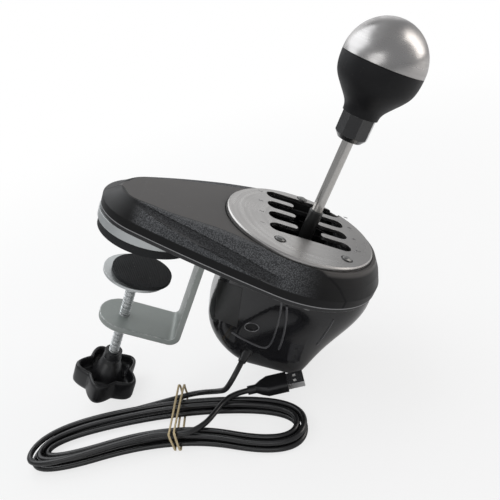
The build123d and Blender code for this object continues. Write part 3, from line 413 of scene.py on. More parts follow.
def fluteAndGrain(parts):
    tree = parts["tree"]
    x, y, z = splitVector(tree, levelVector(tree, parts["space"]))
    top = addCurve(tree, x, cover["fluteTop"], *cover["fluteSpan"])
    bottom = addCurve(tree, x, cover["fluteBottom"], *cover["fluteSpan"])
    width = addMath(tree, "SUBTRACT", top, bottom)
    share = addMath(tree, "DIVIDE", addMath(tree, "SUBTRACT", z, bottom), width, clamp=True)
    bowl = addTimes(tree, share, addMath(tree, "SUBTRACT", 1.0, share), 4.0)
    bowl = addMath(tree, "POWER", bowl, cover["fluteSharpness"])
    ends = addTimes(tree, fadeIn(tree, x, cover["fluteStart"]), fadeOut(tree, x, cover["fluteEnd"]))
    flute = addTimes(tree, bowl, ends)
    panel = addCurve(tree, x, cover["panelHalfWidth"], *cover["panelSpan"])
    beyond = addMath(tree, "SUBTRACT", addMath(tree, "ABSOLUTE", y), panel)
    flank = fadeIn(tree, beyond, cover["panelEdge"])
    smoother = addRange(tree, flute, 0.0, 0.5, 1.0, cover["grainInFlute"], True)
    grained = addTimes(tree, flank, fadeIn(tree, x, cover["grainStart"]), fadeOut(tree, x, cover["grainEnd"]),
                       fadeIn(tree, z, cover["grainBottom"]), smoother)
    inside = addRange(tree, share, 0.0, 0.01)
    # a painted highlight along the lower lip of the flute
    lipHighlight = addTimes(tree, fadeOut(tree, share, cover["lipHighlightBand"]), inside, ends, flank)
    # a soft ridge where the panel ends, then the flute, then the grain
    step = addTimes(tree, flank, -cover["panelStep"])
    form = addMath(tree, "SUBTRACT", step, addTimes(tree, flute, cover["fluteDepth"]))
    formNormal = addBump(tree, form, 0.001, 1.0, parts["normal"])
    pimples = addNode(tree, "ShaderNodeTexVoronoi", Vector=parts["space"], Scale=cover["pimplesPerMetre"])
    pimples.feature = "SMOOTH_F1"
    pimples.inputs["Smoothness"].default_value = cover["pimpleSmoothness"]
    bumps = addTimes(tree, pimples.outputs["Distance"], grained)
    parts["normal"] = addBump(tree, bumps, cover["pimpleHeight"], 1.0, formNormal)
    gloss = addMath(tree, "SUBTRACT", addTimes(tree, grained, cover["grainRougher"]),
                    addTimes(tree, flute, cover["fluteGlossier"]))
    parts["roughness"] = addMath(tree, "ADD", parts["roughness"], gloss)
    # painted shade makes the flanks and the wall in front of the gate nearly black, below the panel's painted
    # sheen; the grain keeps a dark grey of its own, and painted highlights sit on its tips, along the flute's
    # lower lip and along the rim at the seam
    wallShade = addTimes(tree, fadeOut(tree, z, cover["wallShadeTop"]), fadeIn(tree, x, cover["wallShadeStart"]))
    # painted highlights on the tips of the grain
    tipHighlights = addRange(tree, pimples.outputs["Distance"], *cover["tipHighlightBand"], 1.0, 0.0)
    tintBy(parts, addMath(tree, "MAXIMUM", flank, wallShade), *cover["flankAndWallShade"])
    tintBy(parts, grained, *cover["grainTint"])
    tintBy(parts, lipHighlight, *cover["lipHighlightTint"])
    # a painted highlight along the rim at the seam
    tintBy(parts, fadeOut(tree, z, cover["rim"]), *cover["seamRimHighlight"])
    tintBy(parts, addTimes(tree, tipHighlights, grained), *cover["tipHighlightTint"])


padRibs = {"radiansPerMillimetre": 5.2, "faceBand": (0.9, 0.98), "height": 0.0001, "strength": 0.7,
           "wornBand": (0.4, 1.9), "wornShare": 0.5, "wornColour": (0.05, 0.052, 0.055)}


def ribbedRubber(parts):
    # the fine crossed ribs pressed into the face of the clamp pads
    tree = parts["tree"]
    x, y, _ = splitVector(tree, levelVector(tree, parts["space"]))
    waves = [addMath(tree, "SINE", addTimes(tree, side, padRibs["radiansPerMillimetre"])) for side in (x, y)]
    geometry = tree.nodes.new("ShaderNodeNewGeometry")
    upright = (math.sin(rest["angle"]), 0, math.cos(rest["angle"]))
    facing = addVectorMath(tree, "DOT_PRODUCT", geometry.outputs["Normal"], upright)["Value"]
    flat = addRange(tree, addMath(tree, "ABSOLUTE", facing), *padRibs["faceBand"])
    both = addTimes(tree, addMath(tree, "ADD", *waves), flat)
    parts["normal"] = addBump(tree, both, padRibs["height"], padRibs["strength"], parts["normal"])
    worn = addRange(tree, both, *padRibs["wornBand"], 0.0, padRibs["wornShare"])
    parts["colour"] = addMix(tree, worn, parts["colour"], padRibs["wornColour"])


boardTracks = {"gap": 0.06, "perMillimetre": 0.35, "share": 0.7, "colour": (0.03, 0.26, 0.10)}


def printedBoard(parts):
    # copper tracks under the green lacquer of a circuit board
    tree = parts["tree"]
    brick = addNode(tree, "ShaderNodeTexBrick", Vector=levelVector(tree, parts["space"]),
                    Scale=boardTracks["perMillimetre"], Mortar_Size=boardTracks["gap"])
    mask = addRange(tree, brick.outputs["Fac"], 0.0, 1.0, 0.0, boardTracks["share"])
    parts["colour"] = addMix(tree, mask, parts["colour"], boardTracks["colour"])


leverLean = math.radians(0.9)
# the cover's base colour is lighter than the plastic's own, a painted sheen that shows on its top panel
addFinish("housing_plastic", "coverPlastic", (0.068, 0.064, 0.062), (0.080, 0.076, 0.074),
          (0.36, 0.44), fluteAndGrain, rubbed=(0.10, 0.098, 0.096), grain=0.0004, depth=0.000012,
          edge=0.0007, dust=0.35, specular=0.18)
addFinish("housing_gloss", "housingGloss", (0.010, 0.010, 0.011), (0.016, 0.016, 0.018), (0.08, 0.17),
          rubbed=(0.07, 0.07, 0.075), grain=0.0022, depth=0.000025, edge=0.0008, dust=0.6, coat=0.15,
          coatRoughness=0.06, specular=0.4)
# a lighter grey than the housing, a painted highlight on its ridges
addFinish("housing_edge", "housingEdgeHighlight", (0.05, 0.05, 0.055), (0.07, 0.07, 0.075), (0.12, 0.22),
          grain=0.0016, depth=0.00002, edge=0.0004, coat=0.4, dust=0.4)
addFinish("label_film", "labelFilm", (0.008, 0.008, 0.008), (0.011, 0.011, 0.011), (0.32, 0.4),
          grain=0.0008, depth=0.00001, edge=0.0002, dust=0.6)
addFinish("brushed_disc", "gateSteel", (0.44, 0.43, 0.42), (0.48, 0.47, 0.46), (0.26, 0.33),
          turnedMarks((5.5, 0, 0), (0, 0, 0), 0.28, "face"), streaks=(0.40, 0.39, 0.38), metallic=1.0,
          rubbed=(0.6, 0.6, 0.6), depth=0.000003, edge=0.0003, dust=0.25, anisotropic=0.5)
addFinish("ball_metal", "ballMetal", (0.43, 0.42, 0.415), (0.49, 0.48, 0.475), (0.26, 0.34),
          turnedMarks((5.5, 2.6, 0), (0, -leverLean, 0), 0.35, "side"), streaks=(0.36, 0.35, 0.345),
          metallic=1.0, rubbed=(0.6, 0.6, 0.6), depth=0.000006, edge=0.0003, dust=0.15,
          anisotropic=0.5)
addFinish("lever_chrome", "leverSteel", (0.50, 0.485, 0.47), (0.56, 0.55, 0.53), (0.12, 0.2),
          turnedMarks((5.5, 2.6, 0), (0, -leverLean, 0), 0.4, "side"), streaks=(0.44, 0.43, 0.41),
          metallic=1.0, rubbed=(0.7, 0.7, 0.7), depth=0.000003, edge=0.0003, dust=0.1)
addFinish("grip_rubber", "gripRubber", (0.007, 0.007, 0.008), (0.011, 0.011, 0.012), (0.44, 0.54),
          grain=0.0005, depth=0.00003, edge=0.0005, dust=0.5, specular=0.2)
addFinish("sleeve_black", "sleevePlastic", (0.008, 0.008, 0.008), (0.012, 0.012, 0.012), (0.28, 0.4),
          grain=0.0008, depth=0.00002, dust=0.6)
addFinish("knob_nut_metal", "nutBlack", (0.014, 0.014, 0.015), (0.02, 0.02, 0.021), (0.16, 0.26),
          rubbed=(0.12, 0.12, 0.12), grain=0.0012, depth=0.00001, edge=0.0006, coat=0.4, dust=0.3)
addFinish("knob_inner_plastic", "knobInside", (0.04, 0.04, 0.04), (0.05, 0.05, 0.05), (0.45, 0.6),
          grain=0.0006, depth=0.00002)
addFinish("black_screw", "screwSteel", (0.19, 0.19, 0.19), (0.25, 0.25, 0.245), (0.26, 0.4),
          rubbed=(0.5, 0.5, 0.49), metallic=1.0, grain=0.0006, depth=0.000006, edge=0.0003)
addFinish("liner_plastic", "linerPlastic", (0.006, 0.006, 0.006), (0.010, 0.010, 0.010), (0.38, 0.5),
          grain=0.0006, depth=0.00002, dust=0.7)
addFinish("frame_steel", "frameBlack", (0.012, 0.012, 0.013), (0.018, 0.018, 0.019), (0.4, 0.55),
          rubbed=(0.2, 0.2, 0.2), grain=0.0005, depth=0.00003, edge=0.0005, dust=0.4)
addFinish("bracket_paint", "bracketPaint", (0.28, 0.305, 0.29), (0.33, 0.35, 0.335), (0.36, 0.5),
          rubbed=(0.75, 0.77, 0.76), metallic=0.35, grain=0.0005, depth=0.00003, edge=0.0013, dust=0.4,
          dustColour=(0.2, 0.2, 0.19))
addFinish("jaw_rubber", "padRubber", (0.013, 0.014, 0.015), (0.02, 0.021, 0.022), (0.6, 0.75),
          ribbedRubber, grain=0.0005, depth=0.00003, edge=0.0004, dust=0.9, specular=0.25)
addFinish("zinc_steel", "zincSteel", (0.47, 0.49, 0.49), (0.57, 0.59, 0.59), (0.26, 0.42),
          rubbed=(0.7, 0.7, 0.7), metallic=0.9, grain=0.0009, depth=0.00001, edge=0.0004, dust=0.3,
          dustColour=(0.2, 0.2, 0.19))
addFinish("knob_plastic", "knobPlastic", (0.008, 0.008, 0.009), (0.013, 0.013, 0.014), (0.3, 0.42),
          rubbed=(0.05, 0.05, 0.05), grain=0.0007, depth=0.00003, edge=0.0009, dust=0.5)
addFinish("port_metal", "portMetal", (0.25, 0.25, 0.26), (0.4, 0.4, 0.4), (0.2, 0.35),
          rubbed=(0.7, 0.7, 0.7), metallic=1.0, grain=0.001, depth=0.000006, edge=0.0003)
addFinish("port_insulator", "portInside", (0.006, 0.006, 0.006), (0.01, 0.01, 0.01), (0.4, 0.5),
          grain=0.0006, depth=0.00001)
addFinish("cord_rubber", "cordJacket", (0.007, 0.007, 0.0075), (0.011, 0.011, 0.012), (0.26, 0.36),
          grain=0.0014, depth=0.00004, edge=0.0004, dust=0.25, specular=0.55)
addFinish("tie_rubber", "tieRubber", (0.56, 0.44, 0.24), (0.68, 0.56, 0.34), (0.5, 0.65), grain=0.0005,
          depth=0.00005, edge=0.0003, dust=0.3)
addFinish("plug_metal", "plugMetal", (0.52, 0.52, 0.53), (0.63, 0.63, 0.64), (0.14, 0.24),
          rubbed=(0.8, 0.8, 0.8), metallic=1.0, grain=0.0008, depth=0.000005, edge=0.0003, dust=0.1)
addFinish("plug_insulator", "plugTongue", (0.62, 0.62, 0.6), (0.7, 0.7, 0.68), (0.4, 0.5),
          grain=0.0005, depth=0.00001)
addFinish("bush_brass", "bushBrass", (0.52, 0.36, 0.14), (0.6, 0.43, 0.2), (0.24, 0.36), metallic=1.0,
          grain=0.0007, depth=0.000006)
addFinish("mechanism_steel", "mechanismSteel", (0.4, 0.4, 0.41), (0.5, 0.5, 0.51), (0.24, 0.36),
          metallic=1.0, grain=0.0007, depth=0.000006)
addFinish("yoke_metal", "yokeMetal", (0.2, 0.2, 0.21), (0.27, 0.27, 0.28), (0.42, 0.56),
          rubbed=(0.5, 0.5, 0.5), metallic=0.8, grain=0.0006, depth=0.00005)
addFinish("magnet_metal", "magnetNickel", (0.5, 0.49, 0.48), (0.58, 0.57, 0.56), (0.14, 0.24),
          metallic=1.0, grain=0.0008, depth=0.000004)
addFinish("circuit_board", "circuitBoard", (0.01, 0.10, 0.045), (0.012, 0.13, 0.055), (0.25, 0.35),
          printedBoard, grain=0.0005, depth=0.00001)
addFinish("spacer_plastic", "spacerNylon", (0.6, 0.59, 0.56), (0.67, 0.66, 0.63), (0.45, 0.55),
          grain=0.0006, depth=0.00001)
print("finishes made,", len(finishes))

slotOf = {row["node"]: row["material_slot"] for row in frame["record"]["subparts"]}
for name, node in nodes.items():
    node.data.materials.clear()
    node.data.materials.append(finishes[slotOf[name]])


# helpers for the added pieces
def addPiece(name, mesh, slotName, body="root", replaced=(), smooth=False, finish=None):
    piece = addObject(name, mesh)
    mesh.materials.clear()
    mesh.materials.append(finishes[finish or slotName])
    for face in mesh.polygons:
        face.use_smooth = smooth
    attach(piece, body)
    if replaced:
        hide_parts(*replaced)
    return piece


def surfaceOf(name):
    # the CAD surface that a piece is laid on
    mesh = nodes[name].data
    points = [v.co.copy() for v in mesh.vertices]
    return BVHTree.FromPolygons(points, [list(face.vertices) for face in mesh.polygons])


def toMesh(shape, name, faceOut=False):
    if faceOut:
        bmesh.ops.recalc_face_normals(shape, faces=shape.faces)
    mesh = bpy.data.meshes.new(name)
    shape.to_mesh(mesh)
    shape.free()
    return mesh


def inRow(point):
    # metres in the frame, from millimetres measured on the floor under the gate
    return (Vector(point) + Vector((rest["gateX"], 0, 0))) / 1000


def newSpline(name, points, resolution, cyclic=False):
    # a smooth curve inside its control points' hull
    data = bpy.data.curves.new(name, "CURVE")
    data.dimensions = "3D"
    data.resolution_u = resolution
    spline = data.splines.new("NURBS")
    spline.points.add(len(points) - 1)
    for knot, point in zip(spline.points, points):
        knot.co = (*point, 1)
    spline.order_u = 3
    spline.use_cyclic_u = cyclic
    spline.use_endpoint_u = not cyclic
    return data


def curvePoints(points, resolution):
    # the points of a closed smooth curve
    guide = addObject("guide", newSpline("guide", points, resolution, cyclic=True))
    mesh = bpy.data.meshes.new_from_object(guide)
    found = [v.co.copy() for v in mesh.vertices]
    bpy.data.objects.remove(guide)
    bpy.data.meshes.remove(mesh)
    return found


def joinRings(shape, rings, closed=False):
    # faces between neighbouring rings, and a cap on each open end
    for first, second in zip(rings, rings[1:] + rings[:1] if closed else rings[1:]):
        for i in range(len(first)):
            j = (i + 1) % len(first)
            shape.faces.new((first[i], first[j], second[j], second[i]))
    if not closed:
        shape.faces.new(rings[0][::-1])
        shape.faces.new(rings[-1])


def sweepProfile(path, ups, profile, closed=False):
    # a closed profile (across, up) carried along a path, its up side following ups
    shape = bmesh.new()
    rings = []
    count = len(path)
    for k, point in enumerate(path):
        before = path[(k - 1) % count] if closed or k else path[0]
        after = path[(k + 1) % count] if closed or k < count - 1 else path[-1]
        ahead = (after - before).normalized()
        up = (ups[k] - ahead * ups[k].dot(ahead)).normalized()
        across = ahead.cross(up)
        rings.append([shape.verts.new(point + across * a + up * b) for a, b in profile])
    joinRings(shape, rings, closed)
    return toMesh(shape, "swept", faceOut=True)


# the cord: out of the gland, down to the floor, folded in a hank, and out to its plug
cord = {
    "radius": 2.0,            # millimetres, as all of these
    "exit": (-60.56, -33.36, 34.46),
    "leaving": [(-66.07, -40.74, 30.57), (-71.0, -41.5, 24.5), (-76.5, -39.0, 16.8), (-82.0, -33.5, 12.0),
                (-89.5, -27.0, 7.0), (-98.0, -22.6, 4.2)],
    "hankPlace": (-113.0, -46.0),
    "hankTurn": math.radians(-11.8),
    "turns": 4.5,
    "layers": 2,
    "layerStep": 4.6,
    "waistLift": 1.6,
    "corners": [(0, 18), (-104, -9), (-104, -55), (0, -18), (96, -36), (96, 16)],
    "steps": [(0, -4.9), (4.8, -3.6), (4.8, 6.6), (0, 4.9), (-4.8, 5.4), (-4.8, -4.6)],
    "start": (-6, 22.5),
    "end": (-14, -22),
    "endRun": 16,
    "softRun": 8,
    "toPlug": [(-99.3, -68.8, 12.6), (-90.3, -63.8, 12.9), (-84.3, -55.1, 12.9), (-78.8, -46.3, 12.9)],
    "plugStart": (-60.8, -39.3, 12.9),
    "plugAim": (-18.8, -36.4, 12.9),
    "plugRun": 9.6,
    "length": 2.083,          # metres
    "resolution": 20,
    "bevelResolution": 5,
}


def hankSpot(along, across, height):
    turn = cord["hankTurn"]
    x = cord["hankPlace"][0] + along * math.cos(turn) - across * math.sin(turn)
    y = cord["hankPlace"][1] + along * math.sin(turn) + across * math.cos(turn)
    return Vector((x, y, height))


def hankCorner(count):
    # a corner of a turn, drawn in as the turns of its layer spiral inwards and then out again
    sides = len(cord["corners"])
    turns = count / sides
    perLayer = cord["turns"] / cord["layers"]
    layer = min(int(turns / perLayer), cord["layers"] - 1)
    inside = turns - layer * perLayer
    rings = inside if layer % 2 == 0 else perLayer - inside
    climb = sum(min(max(2 * (turns - k * perLayer) + 0.5, 0), 1) for k in range(1, cord["layers"]))
    climb += min(max(2 * (turns - cord["turns"]) + 1, 0), 1)
    along, across = cord["corners"][count % sides]
    stepAlong, stepAcross = cord["steps"][count % sides]
    height = cord["radius"] + (0 if along else cord["waistLift"]) + cord["layerStep"] * climb
    return hankSpot(along + rings * stepAlong, across + rings * stepAcross, height)


def cordRoute():
    first = hankSpot(*cord["start"], cord["radius"] + cord["waistLift"])
    total = round(len(cord["corners"]) * cord["turns"])
    corners = [hankCorner(k) for k in range(1, total)]
    last = hankSpot(*cord["end"], hankCorner(total).z)
    wayIn = (corners[0] - first).normalized()
    wayOut = hankSpot(1, 0, 0) - hankSpot(0, 0, 0)
    end = last + wayOut * cord["endRun"]
    plug, aim = Vector(cord["plugStart"]), Vector(cord["plugAim"])
    plugWay = (aim - plug).normalized()
    route = [cord["exit"], *cord["leaving"], first - wayIn * cord["softRun"], first, *corners, last, end]
    route += [end + wayOut * cord["softRun"], *cord["toPlug"], plug - plugWay * cord["plugRun"], plug]
    return [inRow(p) for p in route]


def makeCord():
    data = newSpline("usbCord", cordRoute(), cord["resolution"])
    data.bevel_depth = cord["radius"] / 1000
    data.bevel_resolution = cord["bevelResolution"]
    data.use_fill_caps = True
    data.materials.append(finishes["cord_rubber"])
    piece = addObject("usbCord", data)
    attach(piece, "root")
    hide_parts("cord_lead", "cord_hank", "plug_lead")
    return piece


# the elastic band: two strands drawn tight round the waist of the hank
tie = {"near": -25.6, "far": 28.2, "low": 0.45, "topNear": 16.55, "topFar": 10.95, "spread": 1.95,
       "width": 1.5, "thickness": 0.9, "flatShare": 0.75, "sway": 0.4, "swayStep": 1.9, "lean": -0.2,
       "cornerRun": 2.4, "middleLift": 0.006, "resolution": 6}


def makeTie():
    near, far, low = tie["near"], tie["far"], tie["low"]
    corners = [Vector(c) for c in ((near, low), (near, tie["topNear"]), (far, tie["topFar"]), (far, low))]
    along = hankSpot(1, 0, 0) - hankSpot(0, 0, 0)
    w, t = tie["width"] / 2000, tie["thickness"] / 2000
    flat = w * tie["flatShare"]
    half = [(-w, -t / 2), (-flat, -t), (flat, -t), (w, -t / 2)]
    profile = half + [(-across, -up) for across, up in half]
    joined = bmesh.new()
    for side in (-1, 1):
        hull = []
        for k, here in enumerate(corners):
            before = (corners[k - 1] - here).normalized()
            after = (corners[(k + 1) % 4] - here).normalized()
            hull += [here + before * tie["cornerRun"], here, here + after * tie["cornerRun"]]
        points = []
        for k, (across, height) in enumerate(hull):
            sway = tie["sway"] * math.sin(k * tie["swayStep"] + side)
            shift = side * tie["spread"] + sway + tie["lean"] * across
            points.append(inRow(hankSpot(shift, across, height)))
        path = curvePoints(points, tie["resolution"])
        middle = sum(path, Vector()) / len(path)
        middle.z = min(p.z for p in path) + tie["middleLift"]
        ups = [(p - middle) - along * (p - middle).dot(along) for p in path]
        joined.from_mesh(sweepProfile(path, ups, profile, closed=True))
    return addPiece("tieBand", toMesh(joined, "tieBand"), "tie_rubber", replaced=["cord_tie"], smooth=True)


usbCord = makeCord()
tieBand = makeTie()
print("cord, tie and plug laid out")


# Geometry Nodes: one small helper runs a tree and keeps its mesh
def newTree(name, *sizes):
    inputs = {"Geometry": "Geometry", **{label: "Float" for label in sizes}, "Material": "Material"}
    return newGroup(name, "GeometryNodeTree", inputs, {"Geometry": "Geometry"})


def endTree(tree, given, made, geometry):
    realize = addNode(tree, "GeometryNodeRealizeInstances", Geometry=geometry)
    paint = addNode(tree, "GeometryNodeSetMaterial", Geometry=realize.outputs[0],
                    Material=given["Material"])
    tree.links.new(paint.outputs[0], made["Geometry"])


def runTree(tree, values, place, spots=()):
    # the tree's mesh with its place applied
    start = bpy.data.meshes.new("carrier")
    start.from_pydata(spots, [], [])
    carrier = addObject("carrier", start)
    modifier = carrier.modifiers.new("tree", "NODES")
    modifier.node_group = tree
    sockets = {item.name: item.identifier for item in tree.interface.items_tree if item.in_out == "INPUT"}
    for label, value in values.items():
        modifier[sockets[label]] = value
    bpy.context.view_layer.update()
    mesh = bpy.data.meshes.new_from_object(carrier.evaluated_get(bpy.context.evaluated_depsgraph_get()))
    bpy.data.objects.remove(carrier)
    mesh.transform(place)
    return mesh


# the clamp screw with its rolled thread
clampScrew = {"x": -98.2, "radius": 3.9, "top": -76.2, "bottom": -161.0, "pitch": 2.0, "depth": 0.6,
              "coreSides": 40, "turnSteps": 28, "ridgeSides": 4}


def threadTree():
    tree, given, made = newTree("rolledThread", "Radius", "Length", "Pitch", "Depth")
    root = addMath(tree, "SUBTRACT", given["Radius"], given["Depth"])
    turns = addMath(tree, "DIVIDE", given["Length"], given["Pitch"])
    core = addNode(tree, "GeometryNodeMeshCylinder", Vertices=clampScrew["coreSides"], Radius=root,
                   Depth=given["Length"])
    spiral = addNode(tree, "GeometryNodeCurveSpiral", Resolution=clampScrew["turnSteps"], Rotations=turns,
                     Start_Radius=root, End_Radius=root, Height=given["Length"])
    ridge = addNode(tree, "GeometryNodeCurvePrimitiveCircle", Resolution=clampScrew["ridgeSides"],
                    Radius=given["Depth"])
    sweep = addNode(tree, "GeometryNodeCurveToMesh", Curve=spiral.outputs[0],
                    Profile_Curve=ridge.outputs["Curve"])
    down = joinVector(tree, 0, 0, addMath(tree, "MULTIPLY", given["Length"], -0.5))
    lower = addNode(tree, "GeometryNodeTransform", Geometry=sweep.outputs[0], Translation=down)
    join = tree.nodes.new("GeometryNodeJoinGeometry")
    tree.links.new(core.outputs["Mesh"], join.inputs[0])
    tree.links.new(lower.outputs[0], join.inputs[0])
    endTree(tree, given, made, join.outputs[0])
    return tree


def makeClampScrew():
    length = clampScrew["top"] - clampScrew["bottom"]
    values = {"Radius": clampScrew["radius"], "Length": length, "Pitch": clampScrew["pitch"],
              "Depth": clampScrew["depth"], "Material": finishes["zinc_steel"]}
    middle = (clampScrew["top"] + clampScrew["bottom"]) / 2
    mesh = runTree(threadTree(), values, levelToRow @ Matrix.Translation((clampScrew["x"], 0, middle)))
    return addPiece("clampScrewThread", mesh, "zinc_steel", "clamp_spindle", ["clamp_screw"])


makeClampScrew()
print("clamp screw threaded")


# the clamp's hand knob: a lobed cup with a cone that carries the screw
clampKnob = {"x": -98.2, "lobes": 5, "lobeRadius": 7.5, "lobeCentre": 18.5, "core": 18.5,
             "turn": math.radians(190), "samples": 200, "fillet": 8, "bottom": -181.0, "rim": -163.0,
             "floor": -171.0, "hub": -152.0, "bore": 4.0}


def knobOutline():
    # the distance of the lobed outline from its axis, with softened valleys
    count, lobes, wide = clampKnob["samples"], clampKnob["lobes"], clampKnob["fillet"]
    centre, radius = clampKnob["lobeCentre"], clampKnob["lobeRadius"]
    reach = []
    for k in range(count):
        angle = 2 * math.pi * k / count - clampKnob["turn"]
        off = (angle + math.pi / lobes) % (2 * math.pi / lobes) - math.pi / lobes
        aside = centre * math.sin(off)
        out = clampKnob["core"]
        if abs(aside) < radius:
            out = max(out, centre * math.cos(off) + math.sqrt(radius ** 2 - aside ** 2))
        reach.append(out)
    window = range(-wide, wide + 1)
    return [sum(reach[(k + j) % count] for j in window) / len(window) for k in range(count)]


def makeClampKnob():
    low, rim, floor, hub, bore = (clampKnob[k] for k in ("bottom", "rim", "floor", "hub", "bore"))
    # each ring: how far in from the outline, and its height
    skin = [(9.0, low), (3.4, low), (1.4, low + 0.7), (0.3, low + 2.2), (0.0, low + 4.0), (0.0, rim - 3.0),
            (0.3, rim - 1.2), (1.1, rim - 0.2), (2.0, rim), (2.8, rim - 0.4), (3.3, rim - 1.6),
            (3.8, floor + 2.4), (5.0, floor + 0.5), (7.0, floor)]
    # the cone's rings are plain circles: radius and height
    cone = [(13.2, floor + 0.5), (12.3, floor + 1.8), (11.2, floor + 4.5), (7.6, hub - 4.2),
            (7.1, hub - 3.6), (7.1, hub - 0.8), (6.5, hub), (bore, hub), (bore, hub - 6.0)]
    outline = knobOutline()
    count = len(outline)
    place = levelToRow @ Matrix.Translation((clampKnob["x"], 0, 0))
    shape = bmesh.new()
    layers = [([reach - step for reach in outline], height) for step, height in skin]
    layers += [([radius] * count, height) for radius, height in cone]
    rings = []
    for radii, height in layers:
        ring = []
        for k, out in enumerate(radii):
            angle = 2 * math.pi * k / count
            spot = place @ Vector((out * math.cos(angle), out * math.sin(angle), height))
            ring.append(shape.verts.new(spot))
        rings.append(ring)
    joinRings(shape, rings)
    mesh = toMesh(shape, "clampKnobCup", faceOut=True)
    return addPiece("clampKnobCup", mesh, "knob_plastic", "clamp_spindle", ["clamp_knob"], smooth=True)


makeClampKnob()
print("clamp knob made")


# numbers etched beside the ends of the gate slots
gateNumbers = {"size": 4.6, "reach": 34.2, "centre": 5.5, "columns": [-15.2, 2.6, 20.4, 38.2],
               "left": ["1", "3", "5", "7"], "right": ["2", "4", "6", "R"], "height": 0.03}


def makeNumbers():
    joined = bmesh.new()
    for way, words in ((-1, gateNumbers["left"]), (1, gateNumbers["right"])):
        for y, word in zip(gateNumbers["columns"], words):
            data = bpy.data.curves.new("number", "FONT")
            data.body = word
            data.size = gateNumbers["size"]
            data.align_x, data.align_y = "CENTER", "CENTER"
            data.extrude = gateNumbers["height"]
            letter = addObject("number", data)
            bpy.context.view_layer.update()
            mesh = bpy.data.meshes.new_from_object(letter)
            bpy.data.objects.remove(letter)
            place = Matrix.Translation((gateNumbers["centre"] + way * gateNumbers["reach"], y, 0.0))
            mesh.transform(levelToRow @ place @ Matrix.Rotation(-math.pi / 2, 4, "Z"))
            joined.from_mesh(mesh)
    return addPiece("gateNumbers", toMesh(joined, "gateNumbers"), "liner_plastic")


makeNumbers()
print("gate numbers etched")


# the dark countersunk seats that show round the heads of the gate screws
screwSeats = {"spots": [(-17.4, -32.5), (28.4, -32.5), (5.5, 48.2)], "radius": 3.75, "width": 0.42,
              "heightShare": 0.35, "ringSides": 40, "wireSides": 8}


def seatTree():
    tree, given, made = newTree("screwSeats", "Radius", "Width")
    spots = addNode(tree, "GeometryNodeMeshToPoints", Mesh=given["Geometry"])
    ring, wire = (addNode(tree, "GeometryNodeCurvePrimitiveCircle", Resolution=screwSeats[sides],
                          Radius=given[label])
                  for sides, label in (("ringSides", "Radius"), ("wireSides", "Width")))
    sweep = addNode(tree, "GeometryNodeCurveToMesh", Curve=ring.outputs["Curve"],
                    Profile_Curve=wire.outputs["Curve"])
    flat = addNode(tree, "GeometryNodeTransform", Geometry=sweep.outputs[0],
                   Scale=(1, 1, screwSeats["heightShare"]))
    place = addNode(tree, "GeometryNodeInstanceOnPoints", Points=spots.outputs[0], Instance=flat.outputs[0])
    endTree(tree, given, made, place.outputs[0])
    return tree


def makeScrewSeats():
    values = {"Radius": screwSeats["radius"], "Width": screwSeats["width"],
              "Material": finishes["liner_plastic"]}
    mesh = runTree(seatTree(), values, levelToRow, [(x, y, 0) for x, y in screwSeats["spots"]])
    return addPiece("gateScrewSeats", mesh, "liner_plastic", smooth=True)


makeScrewSeats()
print("gate screws seated")


# what shows on the driver's side of the housing
housing = {    # pixels of the photograph, and metres
    "label": [(218.5, 279.0), (242.5, 288.0), (237.0, 327.5), (214.5, 318.0)],
    "labelGrid": (16, 24),
    "labelLift": 0.00012,
    "ribs": {
        "housingPanelEdge": [(281.7, 301.7), (280.6, 312), (277.6, 325), (274.2, 336), (271.2, 343),
                             (268.6, 346.3), (265.0, 347.6), (260.5, 346.9), (252, 343.4), (241, 338),
                             (231.7, 331.7)],
        "housingPanelReturn": [(286.8, 306), (286.4, 318), (284.2, 332), (281.4, 343), (278.8, 349)],
    },
    "ribWidth": 0.0017,
    "ribHeight": 0.0010,
    "line": [(333.5, 320), (329, 328), (323, 336.5), (317, 344.5)],
    "lineWidth": 0.0011,
    "lineHeight": 0.0007,
    "sunk": 0.0004,
    "halfSides": 6,
    "spots": 40,
}


def layOn(surface, pixels):
    # points and normals of the CAD surface behind a line of the photograph
    spots, normals = [], []
    count = housing["spots"]
    for k in range(count):
        at = k / (count - 1) * (len(pixels) - 1)
        low = min(int(at), len(pixels) - 2)
        (x0, y0), (x1, y1) = pixels[low], pixels[low + 1]
        start, way = pixelRay(x0 + (x1 - x0) * (at - low), y0 + (y1 - y0) * (at - low))
        hit, normal, _, _ = surface.ray_cast(start, way)
        if hit is not None:
            spots.append(hit)
            normals.append(normal if normal.dot(way) < 0 else -normal)
    return spots, normals


def makeRidge(name, surface, pixels, width, height):
    spots, normals = layOn(surface, pixels)
    turns = [math.pi * k / housing["halfSides"] for k in range(housing["halfSides"] + 1)]
    half = [(width / 2 * math.cos(turn), height * math.sin(turn)) for turn in turns]
    profile = [*half, (-width / 2, -housing["sunk"]), (width / 2, -housing["sunk"])]
    mesh = sweepProfile(spots, normals, profile)
    # the ridges take the lighter finish, a painted highlight along them
    return addPiece(name, mesh, "housing_gloss", smooth=True, finish="housing_edge")


def makeLabel(surface):
    # the label's place is a bare black sticker
    (a, b, c, d) = [Vector(p) for p in housing["label"]]
    across, down = housing["labelGrid"]
    shape = bmesh.new()
    rows = []
    for j in range(down + 1):
        row = []
        for i in range(across + 1):
            u, v = i / across, j / down
            spot = (a * (1 - u) + b * u) * (1 - v) + (d * (1 - u) + c * u) * v
            start, way = pixelRay(*spot)
            hit, normal, _, _ = surface.ray_cast(start, way)
            normal = normal if normal.dot(way) < 0 else -normal
            row.append(shape.verts.new(hit + normal * housing["labelLift"]))
        rows.append(row)
    for j in range(down):
        for i in range(across):
            shape.faces.new((rows[j][i], rows[j + 1][i], rows[j + 1][i + 1], rows[j][i + 1]))
    mesh = toMesh(shape, "blankLabel", faceOut=True)
    return addPiece("blankLabel", mesh, "housing_gloss", smooth=True, finish="label_film")


